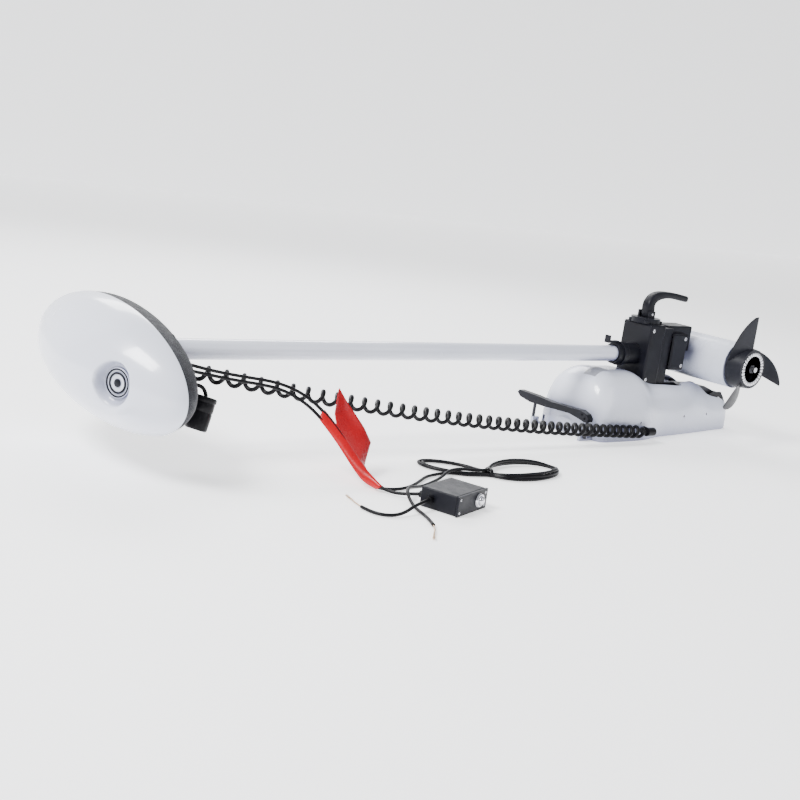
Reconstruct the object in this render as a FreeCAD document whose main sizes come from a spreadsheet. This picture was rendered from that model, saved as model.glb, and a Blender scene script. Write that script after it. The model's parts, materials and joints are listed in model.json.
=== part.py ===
import FreeCAD, Part
import math
import os
import re
import Sketcher

# Bow-mount electric trolling motor, stowed: the shaft lies level along X over the deck mount.
# Frame: origin at the middle of the mount's underside, +X to the bow, +Z up, millimetres.

V = FreeCAD.Vector
X_AXIS, Y_AXIS, Z_AXIS = V(1, 0, 0), V(0, 1, 0), V(0, 0, 1)

SIZES = {
    # shaft and its height over the deck
    "shaft_radius": 15.0, "shaft_wall": 2.0, "axis_height": 150.0,
    "shaft_start": -1090.0, "shaft_end": 92.0, "running_gap": 0.05,
    # control head: an egg cut by a seam that leans with its length
    "head_middle_x": -1111.0, "head_middle_y": 14.0, "head_middle_z": 130.0,
    "head_long_radius": 182.0, "head_short_radius": 82.0, "dome_depth": 80.0,
    "cover_depth": 60.0, "head_wall": 3.0, "seam_half": 0.75, "badge_radius": 20.5,
    "neck_radius": 22.0, "gland_radius": 7.0,
    # lower motor, its axis along Y
    "motor_x": 130.0, "motor_radius": 45.0, "motor_wall": 3.0, "motor_back": -98.0,
    "motor_front": 95.0, "nose_length": 75.0, "bell_length": 10.0,
    "motor_shaft_radius": 5.0, "armature_radius": 33.5, "bearing_radius": 13.0,
    "bearing_width": 8.0,
    # propeller
    "hub_back": -110.3, "hub_front": -143.0, "hub_radius": 42.0, "hub_front_radius": 38.0,
    "ring_radius": 33.0, "ring_inner": 27.0, "hub_recess": 25.0,
    # steering unit
    "case_left": -57.0, "case_middle": -14.0, "band_right": 15.0, "case_right": 60.0,
    "case_half_width": 35.0, "case_bottom": 96.0, "case_top": 211.0, "rear_top": 195.0, "rear_bottom": 124.0,
    "case_wall": 3.0, "lug_right": 84.0, "lug_half_width": 22.0, "lug_top": 209.0,
    "sleeve_wall": 5.0, "sleeve_left": -103.7, "sleeve_right": 62.0,
    "gear_left": -34.0, "gear_width": 10.0, "cap_radius": 28.0, "cap_middle": -37.0,
    # deck mount
    "mount_left": -216.0, "mount_right": 241.0, "mount_half_width": 82.0, "skin": 3.0,
    "slot_half_width": 31.0, "plate_thickness": 4.0, "deck_hole_x": 140.0,
    "deck_hole_y": 36.0, "deck_hole_radius": 3.5, "hinge_x": 205.0, "hinge_z": 60.0,
    "hinge_pin_radius": 6.0, "arm_half_width": 18.0, "channel_half_width": 24.0,
    "channel_wall": 3.0, "channel_height": 78.0,
    # foot pedal
    "pedal_x": -229.0, "pedal_thickness": 14.0, "leg_radius": 3.0, "leg_near": -65.0,
    "leg_far": 68.0, "pivot_height": 8.0,
    # latch
    "latch_height": 84.0, "latch_radius": 5.0,
    # breaker
    "breaker_x": -760.0, "breaker_y": -310.0, "breaker_turn": 18.5, "breaker_width": 78.0,
    "breaker_depth": 60.0, "breaker_height": 28.0, "button_radius": 6.0,
    # cords
    "coil_radius": 12.5, "lead_radius": 2.4, "pigtail_radius": 2.75, "tip_radius": 1.2,
    "connector_radius": 16.5, "connector_length": 48.0, "hank_height": 13.5,
}

DOC = FreeCAD.newDocument("trolling_motor")
SHEET = DOC.addObject("Spreadsheet::Sheet", "Sizes")
for row, (alias, value) in enumerate(SIZES.items(), 1):
    SHEET.set("A%d" % row, alias)
    SHEET.set("B%d" % row, str(value))
    SHEET.setAlias("B%d" % row, alias)
DOC.recompute()

NODES = []


def size(alias):
    """The value of one cell of the sheet."""
    return float(getattr(SHEET, alias))


def bind(obj, **formulas):
    """Set each property from a number, or bind it to a formula of sheet names."""
    for name, formula in formulas.items():
        if isinstance(formula, str):
            obj.setExpression(name, re.sub(r"[a-z_]{4,}", lambda word: "Sizes." + word.group(), formula))
        else:
            setattr(obj, name, formula)
    return obj


def node(obj, label):
    """Make an object one of the part's named pieces."""
    obj.Label = label
    NODES.append(obj)
    return obj


def facing(axis):
    """The rotation that turns +Z to an axis."""
    return FreeCAD.Rotation(Z_AXIS, axis)


def rod(name, start, axis, radius, length):
    """A cylinder from a point along an axis."""
    obj = bind(DOC.addObject("Part::Cylinder", name), Radius=radius, Height=length)
    obj.Placement = FreeCAD.Placement(V(*start), facing(axis))
    return obj


def cone(name, start, axis, radius, end_radius, length):
    obj = bind(DOC.addObject("Part::Cone", name), Radius1=radius, Radius2=end_radius, Height=length)
    obj.Placement = FreeCAD.Placement(V(*start), facing(axis))
    return obj


def block(name, corner, length, width, height, turn=None):
    """A box from its lowest corner, or carried by a placement of its own."""
    obj = bind(DOC.addObject("Part::Box", name), Length=length, Width=width, Height=height)
    here = FreeCAD.Placement(V(*corner), FreeCAD.Rotation())
    obj.Placement = turn.multiply(here) if turn else here
    return obj


def fuse(name, *parts):
    obj = DOC.addObject("Part::MultiFuse", name)
    obj.Shapes = list(parts)
    return obj


def cut(name, base, *tools):
    obj = DOC.addObject("Part::Cut", name)
    obj.Base = base
    obj.Tool = tools[0] if len(tools) == 1 else fuse(name + "_tools", *tools)
    return obj


def group(name, *parts):
    """Separate solids that share one node."""
    obj = DOC.addObject("Part::Compound", name)
    obj.Links = list(parts)
    return obj


def rounded(name, base, radius):
    """Every edge of a plain block rounded."""
    DOC.recompute()
    obj = DOC.addObject("Part::Fillet", name)
    obj.Base = base
    obj.Edges = [(edge, radius, radius) for edge in range(1, len(base.Shape.Edges) + 1)]
    return obj


def solid(name, shape):
    """A shape that no bound feature fits."""
    obj = DOC.addObject("Part::Feature", name)
    obj.Shape = shape
    return obj


def plane_of(body, role):
    return next(feature for feature in body.Origin.OriginFeatures if feature.Role == role)


def sketch_on(body, role, name, points, offset=0.0):
    """A closed sketch of straight lines on one of a body's origin planes."""
    sketch = body.newObject("Sketcher::SketchObject", name)
    sketch.AttachmentSupport = [(plane_of(body, role), "")]
    sketch.MapMode = "FlatFace"
    sketch.AttachmentOffset = FreeCAD.Placement(V(0, 0, offset), FreeCAD.Rotation())
    count = len(points)
    for start, end in zip(points, points[1:] + points[:1]):
        sketch.addGeometry(Part.LineSegment(V(*start, 0), V(*end, 0)), False)
    for line in range(count):
        sketch.addConstraint(Sketcher.Constraint("Coincident", line, 2, (line + 1) % count, 1))
    return sketch


def pad(body, name, sketch, length):
    """A pad of equal depth to both sides of its sketch."""
    feature = body.newObject("PartDesign::Pad", name)
    feature.Profile = sketch
    feature.SideType = "Symmetric"
    bind(feature, Length=length)
    return feature


def circle_sketch(body, role, name, middle, radius):
    sketch = body.newObject("Sketcher::SketchObject", name)
    sketch.AttachmentSupport = [(plane_of(body, role), "")]
    sketch.MapMode = "FlatFace"
    sketch.addGeometry(Part.Circle(V(*middle, 0), Z_AXIS, size(radius)), False)
    sketch.addConstraint(Sketcher.Constraint("Radius", 0, size(radius)))
    sketch.setExpression("Constraints[0]", "Sizes." + radius)
    return sketch


def through_hole(body, name, sketch, length):
    """A pocket of equal depth to both sides of its sketch."""
    feature = body.newObject("PartDesign::Pocket", name)
    feature.Profile = sketch
    feature.SideType = "Symmetric"
    bind(feature, Length=length)
    return feature


# ---------------------------------------------------------------- cords

RADII = {}


def route_wire(name, points, cord_radius):
    """Straight runs joined by arcs as large as their two runs allow."""
    corners = [V(*point) for point in points]
    edges, here, radii = [], corners[0], []
    for before, corner, after in zip(corners, corners[1:], corners[2:]):
        first, second = before - corner, after - corner
        short = min(first.Length, second.Length)
        turn = math.pi - first.getAngle(second)
        reach = 0.45 * short
        radius = reach / math.tan(turn / 2)
        first.normalize()
        second.normalize()
        start, end = corner + first * reach, corner + second * reach
        inward = (first + second).normalize()
        middle = corner + inward * (radius / math.cos(turn / 2) - radius)
        edges.append(Part.LineSegment(here, start).toShape())
        edges.append(Part.Arc(start, middle, end).toShape())
        radii.append(radius)
        here = end
    edges.append(Part.LineSegment(here, corners[-1]).toShape())
    RADII[name] = (min(radii) if radii else 0, min(radii or [0]) / (2 * cord_radius))
    return Part.Wire(edges)


def tube(name, points, cord_radius):
    """A plain round cord along a route, checked against its section times its length."""
    wire = route_wire(name, points, cord_radius)
    start = V(*points[0])
    along = (V(*points[1]) - start).normalize()
    ring = Part.Wire([Part.Circle(start, along, cord_radius).toShape()])
    shape = wire.makePipeShell([ring], True, False)
    expected = math.pi * cord_radius ** 2 * wire.Length
    least, diameters = RADII[name]
    print("%s length %.0f least radius %.1f = %.1f diameters, volume ratio %.4f"
          % (name, wire.Length, least, diameters, shape.Volume / expected))
    return solid(name, shape)


# ---------------------------------------------------------------- control head

HEAD_TURN = 7.0      # degrees that the head is turned about the shaft, away from the motor's line
HEAD_LEAN = -0.08    # how far the seam runs along X for each millimetre of the head's length


def head_matrix(depth, long_radius, short_radius, drift=0.0):
    """Carries a form of unit size onto the head: stretched, sheared along the seam and turned.
    The drift is how far the form's apex moves along Y."""
    turn = math.radians(HEAD_TURN)
    cos, sin = math.cos(turn), math.sin(turn)
    return FreeCAD.Matrix(
        depth, HEAD_LEAN * long_radius, 0, size("head_middle_x"),
        drift, long_radius * cos, -short_radius * sin, size("head_middle_y"),
        0, long_radius * sin, short_radius * cos, size("head_middle_z"),
        0, 0, 0, 1)


def half_egg(depth, long_radius, short_radius, exponent, start, drift=0.0):
    """Half an egg whose profile is a superellipse, its flat side a little off the seam plane."""
    steps = 10
    angles = [math.pi / 2 * step / steps for step in range(steps + 1)]
    points = [V(math.sin(a) ** (2 / exponent), math.cos(a) ** (2 / exponent), 0) for a in angles]
    points[0], points[-1] = V(0, 1, 0), V(1, 0, 0)
    curve = Part.BSplineCurve()
    curve.interpolate(points)
    edges = [curve.toShape(), Part.LineSegment(points[-1], V(0, 0, 0)).toShape(),
             Part.LineSegment(V(0, 0, 0), points[0]).toShape()]
    half = Part.Face(Part.Wire(edges)).revolve(V(0, 0, 0), X_AXIS, 360)
    egg = half.transformGeometry(head_matrix(depth, long_radius, short_radius, drift))
    egg.translate(V(start, 0, 0))
    return egg


def egg_shell(name, depth, inset, exponent, side, drift=0.0):
    """A shell of even wall: one half egg less a smaller one."""
    wall = size("head_wall")
    long_radius, short_radius = size("head_long_radius") - inset, size("head_short_radius") - inset
    start = side * size("seam_half")
    outer = half_egg(side * depth, long_radius, short_radius, exponent, start, drift)
    inner = half_egg(side * (depth - wall), long_radius - wall, short_radius - wall, exponent, start, drift)
    return cut(name, solid(name + "_outer", outer), solid(name + "_inner", inner))


def seam_ring(name, outer_inset, inner_inset):
    """The gasket: a thin elliptical ring between the dome and the cover."""
    thick = 2 * size("seam_half")
    rings = []
    for inset in (outer_inset, inner_inset):
        disc = Part.makeCylinder(1, 1, V(-0.5, 0, 0), X_AXIS)
        matrix = head_matrix(thick, size("head_long_radius") - inset, size("head_short_radius") - inset)
        rings.append(disc.transformGeometry(matrix))
    return solid(name, rings[0].cut(rings[1]))


def on_head(along, across):
    """Y and Z of a point given by shares of the head's two radii."""
    turn = math.radians(HEAD_TURN)
    y, z = along * size("head_long_radius"), across * size("head_short_radius")
    return (size("head_middle_y") + y * math.cos(turn) - z * math.sin(turn),
            size("head_middle_z") + y * math.sin(turn) + z * math.cos(turn))


def seam_x(along):
    return size("head_middle_x") + HEAD_LEAN * along * size("head_long_radius")


COVER_DRIFT = 42.0                       # how far the lower cover's apex lies towards +Y
POCKET_AT = V(-1165.4, -85.0, 122.0)     # where the badge's pocket opens on the dome
BADGE_FACING = V(-0.9185, -0.395, 0.0164)
POCKET_DEPTH, POCKET_FLARE = 15.0, 8.0
COIL_GLAND = (-34.0, 129.0)              # Y and Z of the glands in the lower cover
LEAD_GLANDS = ((-57.0, 141.0), (-57.0, 133.0))
PIGTAIL_GLAND = (-42.0, 108.0)
GLAND_END = -1042.0
GLAND_LENGTH = 34.0
NECK_END = -1040.0
SCREW_PLACES = [(0.78, 0.0), (-0.78, 0.0), (0.42, 0.72), (0.42, -0.72), (-0.42, 0.72), (-0.42, -0.72)]


def make_head():
    height = size("axis_height")
    dome = egg_shell("dome_shell", size("dome_depth"), 0.0, 1.7, -1)
    facing_out = V(BADGE_FACING).normalize()
    floor = POCKET_AT - facing_out * POCKET_DEPTH
    wide = POCKET_DEPTH + 15
    flare = POCKET_FLARE * wide / POCKET_DEPTH
    mouth = size("badge_radius") + flare
    badge_room = cone("badge_room", floor, facing_out, "badge_radius + 2.5", mouth + 2.5, wide)
    pocket = cone("badge_pocket", floor, facing_out, "badge_radius + 5", mouth + 5, wide)
    cup_side = cone("badge_cup_wall", floor, facing_out, "badge_radius + 5.5", mouth + 5.5, wide)
    cup_floor = rod("badge_cup_floor", floor - facing_out * 3, facing_out, "badge_radius + 5.5", 3.0)
    cup = fuse("badge_cup", cup_side, cup_floor)
    outer = solid("dome_envelope", half_egg(-size("dome_depth"), size("head_long_radius"),
                                            size("head_short_radius"), 1.7, -size("seam_half")))
    trimmed = DOC.addObject("Part::Common", "badge_cup_trimmed")
    trimmed.Base, trimmed.Tool = cup, outer
    open_dome = cut("dome_open", dome, pocket)
    cup_wall = cut("badge_cup_open", trimmed, badge_room)
    node(fuse("head_dome_body", open_dome, cup_wall), "head_dome")
    node(rod("badge", floor, facing_out, "badge_radius", 3.0), "head_badge")

    cover = egg_shell("cover_shell", size("cover_depth"), 1.5, 2.8, 1, COVER_DRIFT)
    neck = rod("neck", (seam_x(0) + 36, 0, height), X_AXIS, "neck_radius",
               NECK_END - seam_x(0) - 36)
    tools = [rod("neck_bore", (seam_x(0) + 30, 0, height), X_AXIS, "shaft_radius", 60.0)]
    glands = [("coil_gland", COIL_GLAND, "gland_radius + 2"),
              ("pigtail_gland", PIGTAIL_GLAND, "gland_radius")]
    bores = []
    for name, (y, z), radius in glands:
        bores.append(rod(name, (GLAND_END - GLAND_LENGTH, y, z), X_AXIS, radius, GLAND_LENGTH))
        tools.append(rod(name + "_bore", (GLAND_END - GLAND_LENGTH, y, z), X_AXIS, radius, GLAND_LENGTH))
    (y_one, z_one), (y_two, z_two) = LEAD_GLANDS
    pair = block("lead_gland", (GLAND_END - GLAND_LENGTH, y_one - 6, z_two - 5), GLAND_LENGTH, 12.0,
                 z_one - z_two + 10)
    tools.append(block("lead_gland_bore", (GLAND_END - GLAND_LENGTH, y_one - 6, z_two - 5), GLAND_LENGTH,
                       12.0, z_one - z_two + 10))
    screws = []
    for index, (along, across) in enumerate(SCREW_PLACES):
        y, z = on_head(along, across)
        start = seam_x(along) - 14
        screws.append(rod("head_screw_%d" % index, (start, y, z), X_AXIS, 2.0, 34.0))
        tools.append(rod("head_screw_bore_%d" % index, (start, y, z), X_AXIS, 2.0, 60.0))
        tools.append(rod("head_screw_sink_%d" % index, (start + 34, y, z), X_AXIS, 4.0, 60.0))
        screws.append(rod("head_screw_top_%d" % index, (start + 34, y, z), X_AXIS, 3.8, 3.0))
    node(cut("lower_cover_body", fuse("cover_and_neck", cover, neck), *tools), "head_lower_cover")
    node(group("head_glands_set", *bores, pair), "head_glands")
    pairs = [fuse("head_screw_whole_%d" % n, *screws[2 * n:2 * n + 2]) for n in range(len(SCREW_PLACES))]
    node(group("head_screws_set", *pairs), "head_screws")
    node(seam_ring("gasket", 1.0, 4.5), "head_gasket")
    board = block("board", (seam_x(0) - 12, -58, 96), 1.6, 130.0, 34.0)
    chips = [block("chip_%d" % n, (seam_x(0) - 10.4, -48 + 30 * n, 104), 4.0, 14.0 + 2 * n, 14.0)
             for n in range(4)]
    node(fuse("board_with_chips", board, *chips), "control_board")


# ---------------------------------------------------------------- lower motor and propeller

def make_motor():
    x, z = size("motor_x"), size("axis_height")
    back, front = size("motor_back"), size("motor_front")
    tube_outer = rod("motor_outer", (x, back, z), Y_AXIS, "motor_radius", "motor_front - motor_back")
    tube_inner = rod("motor_inner", (x, back, z), Y_AXIS, "motor_radius - motor_wall",
                     "motor_front - motor_back")
    saddle = rod("shaft_socket", (x - 60, 0, z), X_AXIS, "shaft_radius", 30.0)
    node(cut("motor_shell", tube_outer, tube_inner, saddle), "motor_tube")

    nose = DOC.addObject("Part::Ellipsoid", "nose_form")
    bind(nose, Radius1="nose_length", Radius2="motor_radius", Radius3="motor_radius", Angle1=0.0)
    nose.Placement = FreeCAD.Placement(V(x, front, z), facing(Y_AXIS))
    hollow = rod("nose_hollow", (x, front, z), Y_AXIS, 30.0, 14.0)
    seat = rod("nose_seat", (x, front, z), Y_AXIS, "bearing_radius", 14.0 + size("bearing_width"))
    node(cut("nose_body", nose, hollow, seat), "nose_cone")

    bell = rod("bell_disc", (x, back - size("bell_length"), z), Y_AXIS, "motor_radius", "bell_length")
    spigot = rod("bell_spigot", (x, back, z), Y_AXIS, "motor_radius - motor_wall", 8.0)
    pocket = rod("bell_bearing", (x, back, z), Y_AXIS, "bearing_radius", 10.0)
    bore = rod("bell_bore", (x, back - 12, z), Y_AXIS, "motor_shaft_radius + 1", 20.0)
    seal_seat = rod("bell_seal_seat", (x, back - 12, z), Y_AXIS, 9.0, 6.0)
    node(cut("bell_body", fuse("bell_blank", bell, spigot), pocket, bore, seal_seat), "rear_bell")

    magnet_ring = cut("magnet_ring",
                      rod("magnet_outer", (x, -60, z), Y_AXIS, "motor_radius - motor_wall", 105.0),
                      rod("magnet_inner", (x, -60, z), Y_AXIS, "armature_radius + 1.2", 105.0),
                      block("magnet_gap", (x - 60, -61, z - 16), 120.0, 107.0, 32.0))
    node(magnet_ring, "magnets")

    rings = []
    for name, start in (("back", back), ("nose", front + 14)):
        outer = rod(name + "_bearing_outer", (x, start, z), Y_AXIS, "bearing_radius", "bearing_width")
        inner = rod(name + "_bearing_bore", (x, start, z), Y_AXIS, "motor_shaft_radius + running_gap",
                    "bearing_width")
        rings.append(cut(name + "_bearing", outer, inner))
    node(group("bearing_pair", *rings), "motor_bearings")
    seal = cut("seal", rod("seal_outer", (x, back - 10, z), Y_AXIS, 9.0, 4.0),
               rod("seal_bore", (x, back - 10, z), Y_AXIS, "motor_shaft_radius + running_gap", 4.0))
    node(seal, "shaft_seal")

    drive_y = -122.0
    spindle = rod("spindle", (x, -150, z), Y_AXIS, "motor_shaft_radius", 150.0 + front + 21)
    pin_hole = rod("pin_hole", (x - 14, drive_y, z), X_AXIS, 2.0, 28.0)
    node(cut("spindle_drilled", spindle, pin_hole), "motor_shaft")
    node(rod("pin", (x - 13, drive_y, z), X_AXIS, 2.0, 26.0), "drive_pin")
    core = rod("core", (x, -55, z), Y_AXIS, "armature_radius", 95.0)
    commutator = rod("commutator", (x, 40, z), Y_AXIS, 14.0, 18.0)
    slots = [block("core_slot_%d" % n, (-1.5, -1, size("armature_radius") - 5), 3.0, 97.0, 10.0,
                   FreeCAD.Placement(V(x, -55, z), FreeCAD.Rotation(Y_AXIS, 30 * n)))
             for n in range(12)]
    bore = rod("core_bore", (x, -60, z), Y_AXIS, "motor_shaft_radius", 130.0)
    node(cut("core_slotted", fuse("core_blank", core, commutator), bore, *slots), "armature")


BLADE_ANGLES = (99.0, -19.0, -137.0)
# distance of each blade section from the axis, the angle it spans and its thickness
BLADE_SECTIONS = ((27.0, 74.0, 5.0), (48.0, 54.0, 4.2), (66.0, 37.0, 3.4), (82.0, 24.0, 2.8),
                  (95.0, 13.0, 2.2), (103.5, 4.5, 1.6))
RISE_PER_DEGREE = 0.40


def blade(tip_angle):
    """A skewed weedless blade: its trailing edge straight, its leading edge swept back."""
    x, z = size("motor_x"), size("axis_height")
    wires = []
    for distance, span, thickness in BLADE_SECTIONS:
        lean = math.radians(tip_angle + span / 2)
        outward = V(math.cos(lean), 0, math.sin(lean))
        sideways = V(-math.sin(lean), 0, math.cos(lean))
        half = distance * math.tan(math.radians(span / 2))
        trail = -139.5 - 6 * (distance - 27) / 75
        rise = RISE_PER_DEGREE * span
        middle = V(x, trail + rise / 2, z) + outward * distance
        chord = sideways * half + V(0, rise / 2, 0)
        normal = chord.cross(outward).normalize() * (thickness / 2)
        ends = middle - chord, middle + chord
        blunt = normal * 0.2
        back = Part.Arc(ends[0] + blunt, middle + normal, ends[1] + blunt).toShape()
        tip = Part.LineSegment(ends[1] + blunt, ends[1] - blunt).toShape()
        face = Part.Arc(ends[1] - blunt, middle - normal, ends[0] - blunt).toShape()
        tail = Part.LineSegment(ends[0] - blunt, ends[0] + blunt).toShape()
        wires.append(Part.Wire([back, tip, face, tail]))
    return Part.makeLoft(wires, True, False)


def make_propeller():
    x, z = size("motor_x"), size("axis_height")
    back, front = size("hub_back"), size("hub_front")
    toward = V(0, -1, 0)
    hub = cone("hub", (x, back, z), toward, "hub_radius", "hub_front_radius", "hub_back - hub_front")
    blades = [solid("blade_%d" % n, blade(angle)) for n, angle in enumerate(BLADE_ANGLES)]
    tools = [rod("hub_bore", (x, back + 1, z), toward, "motor_shaft_radius", 60.0),
             rod("hub_recess_cut", (x, front + 8, z), toward, "hub_recess", 20.0),
             rod("ring_seat", (x, front + 1.5, z), toward, "ring_radius", 20.0),
             rod("drive_slot", (x - 14, -122, z), X_AXIS, 2.0, 28.0),
             rod("drive_slot_mouth", (x, back + 1, z), toward, 14.0, 9.7)]
    node(cut("propeller_body", fuse("propeller_blank", hub, *blades), *tools), "propeller")
    ring = cut("ring", rod("ring_outer", (x, front + 1.5, z), toward, "ring_radius", 3.0),
               rod("ring_bore", (x, front + 2, z), toward, "ring_inner", 5.0))
    node(ring, "hub_ring")
    flats = [V(x + 9 * math.cos(math.radians(60 * n)), front + 8, z + 9 * math.sin(math.radians(60 * n)))
             for n in range(6)]
    hexagon = Part.Face(Part.makePolygon(flats + flats[:1])).extrude(V(0, -7, 0))
    bore = rod("nut_bore", (x, front + 10, z), toward, "motor_shaft_radius", 20.0)
    node(cut("nut", solid("nut_blank", hexagon), bore), "prop_nut")


# ---------------------------------------------------------------- steering unit

def gear_form(teeth, pitch_radius, tooth_height, width, first_angle, tooth_share):
    """A spur gear in the YZ plane with straight-flanked teeth, its middle at the origin."""
    step = 2 * math.pi / teeth
    outer, root = pitch_radius + 0.45 * tooth_height, pitch_radius - 0.55 * tooth_height
    points = []
    for tooth in range(teeth):
        middle = first_angle + tooth * step
        for radius, share in ((root, -1.25), (outer, -0.62), (outer, 0.62), (root, 1.25)):
            angle = middle + share * tooth_share * step / 2
            points.append(V(0, radius * math.cos(angle), radius * math.sin(angle)))
    return Part.Face(Part.makePolygon(points + points[:1])).extrude(V(width, 0, 0))


GEAR_TEETH, PINION_TEETH = 40, 12
GEAR_PITCH, PINION_PITCH = 26.0, 7.8


def make_steering():
    height = size("axis_height")
    half, wall = size("case_half_width"), size("case_wall")
    left, middle = size("case_left"), size("case_middle")
    right, bottom, top = size("case_right"), size("case_bottom"), size("case_top")
    rear_top, band = size("rear_top"), size("band_right")

    sleeve = rod("sleeve_bar", (size("sleeve_left"), 0, height), X_AXIS, "shaft_radius + sleeve_wall",
                 "sleeve_right - sleeve_left")
    flare = rod("sleeve_flare", (size("sleeve_left"), 0, height), X_AXIS, "shaft_radius + sleeve_wall + 2.5",
                12.0)
    bore = rod("sleeve_bore", (size("sleeve_left") - 1, 0, height), X_AXIS, "shaft_radius + running_gap",
               "sleeve_right - sleeve_left + 2")
    node(cut("sleeve_body", fuse("sleeve_blank", sleeve, flare), bore), "steering_sleeve")

    gear = gear_form(GEAR_TEETH, GEAR_PITCH, 3.4, size("gear_width"), math.pi / 2, 0.44)
    gear.translate(V(size("gear_left"), 0, height))
    gear_bore = rod("gear_bore", (size("gear_left") - 1, 0, height), X_AXIS, "shaft_radius + sleeve_wall",
                    "gear_width + 2")
    node(cut("gear_body", solid("gear_blank", gear), gear_bore), "steering_gear")
    pinion_z = height + GEAR_PITCH + PINION_PITCH + 0.35
    pinion = gear_form(PINION_TEETH, PINION_PITCH, 3.4, size("gear_width"),
                       -math.pi / 2 + math.pi / PINION_TEETH, 0.44)
    pinion.translate(V(size("gear_left"), 0, pinion_z))
    spindle = rod("pinion_spindle", (size("gear_left"), 0, pinion_z), X_AXIS, 2.5, 34.0)
    node(fuse("pinion_body", solid("pinion_blank", pinion), spindle), "steering_pinion")
    can = rod("steering_can", (size("gear_left") + 18, 0, pinion_z), X_AXIS, 12.0, 66.0)
    can_bore = rod("steering_can_bore", (size("gear_left") + 17, 0, pinion_z), X_AXIS, 2.55, 20.0)
    node(cut("steering_can_body", can, can_bore), "steering_motor")

    sleeve_hole = "shaft_radius + sleeve_wall + running_gap"
    front_block = block("front_block", (left, -half, bottom), "case_middle - case_left",
                        "2 * case_half_width", "case_top - case_bottom")
    front_form = rounded("front_rounded", front_block, 3.5)
    front = cut("case_front_body", front_form,
                block("front_cavity", (left + wall, -half + wall, bottom + wall), 60.0,
                      "2 * (case_half_width - case_wall)", "case_top - case_bottom - 2 * case_wall"),
                rod("front_bore", (left - 5, 0, height), X_AXIS, sleeve_hole, 20.0))
    node(front, "case_front")
    band_outer = block("band_block", (middle, -half + 5, bottom + 3), "band_right - case_middle",
                       "2 * case_half_width - 10", top - bottom - 9)
    band_cavity = block("band_cavity", (middle - 1, -half + 8, bottom + 6), 40.0, "2 * case_half_width - 16",
                        top - bottom - 15)
    node(cut("band_body", band_outer, band_cavity), "case_band")
    low = size("rear_bottom")
    rear_block = block("rear_block", (band, -half, low), "case_right - band_right",
                       "2 * case_half_width", "rear_top - rear_bottom")
    rear_form = rounded("rear_rounded", rear_block, 3.5)
    lug = rounded("lug_rounded", block("lug_block", (band, -size("lug_half_width"), 160),
                                       "lug_right - band_right", "2 * lug_half_width", "lug_top - 160"), 3.0)
    rear = cut("case_rear_body", fuse("rear_form", rear_form, lug),
               block("rear_cavity", (band - 1, -half + wall, low + wall), right - band + 1 - wall,
                     "2 * (case_half_width - case_wall)", "rear_top - rear_bottom - 2 * case_wall"),
               block("lug_cavity", (band - 1, -size("lug_half_width") + wall, 163),
                     size("lug_right") - band + 1 - wall, "2 * (lug_half_width - case_wall)",
                     size("lug_top") - wall - 163),
               rod("rear_bore", (right - 10, 0, height), X_AXIS, sleeve_hole, 12.0),
               rod("shaft_way", (right - 10, 0, height), X_AXIS, "shaft_radius + 1.5", 60.0))
    node(rear, "case_rear")
    screws = []
    for n, (x, y, z) in enumerate(((-48, -half, 106), (-48, -half, 200), (52, -half, 133), (52, -half, 186))):
        for side in (-1, 1):
            start = (x, side * (half - wall), z)
            screws.append(rod("case_screw_%d_%d" % (n, side + 1), start, V(0, side, 0), 3.0, wall + 1.2))
    node(group("case_screw_set", *screws), "case_screws")

    cap_at = size("cap_middle")
    cap = rod("cap_disc", (cap_at, 0, top), Z_AXIS, "cap_radius", 10.0)
    ears = [rod("cap_ear_%d_%d" % (side_x + 1, side_y + 1), (cap_at + 19 * side_x, 19 * side_y, top),
                Z_AXIS, 5.0, 6.0) for side_x in (-1, 1) for side_y in (-1, 1)]
    posts = [block("cap_post_%d" % side, (cap_at - 8, 12.5 * side - 2, top + 9),
                   16.0, 4.0, 14.0) for side in (-1, 1)]
    pin_z = top + 17
    pin_bore = rod("cap_pin_bore", (cap_at, -30, pin_z), Y_AXIS, 2.5, 60.0)
    node(cut("cap_body", fuse("cap_blank", cap, *ears, *posts), pin_bore), "steering_cap")
    node(rod("handle_pin_rod", (cap_at, -15, pin_z), Y_AXIS, 2.5, 30.0), "handle_pin")

    outer = [V(-43, 0, 222.8), V(-51, 0, 235), V(-47, 0, 254), V(-34, 0, 266), V(-9, 0, 271.5), V(28, 0, 270),
             V(70, 0, 264)]
    inner = [V(72, 0, 255.5), V(32, 0, 258), V(4, 0, 256), V(-14, 0, 246), V(-20, 0, 234), V(-20, 0, 222.8)]
    edges = []
    for points in (outer, inner):
        curve = Part.BSplineCurve()
        curve.interpolate(points)
        edges.append(curve.toShape())
    nose = Part.Arc(outer[-1], V(76, 0, 259), inner[0]).toShape()
    foot = Part.LineSegment(inner[-1], outer[0]).toShape()
    strap = Part.Face(Part.Wire([edges[0], nose, edges[1], foot]))
    strap.translate(V(0, -10, 0))
    form = solid("handle_form", strap.extrude(V(0, 20, 0)))
    hole = rod("handle_bore", (cap_at, -20, pin_z), Y_AXIS, 2.55, 40.0)
    node(cut("handle_body", form, hole), "pull_handle")

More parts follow.
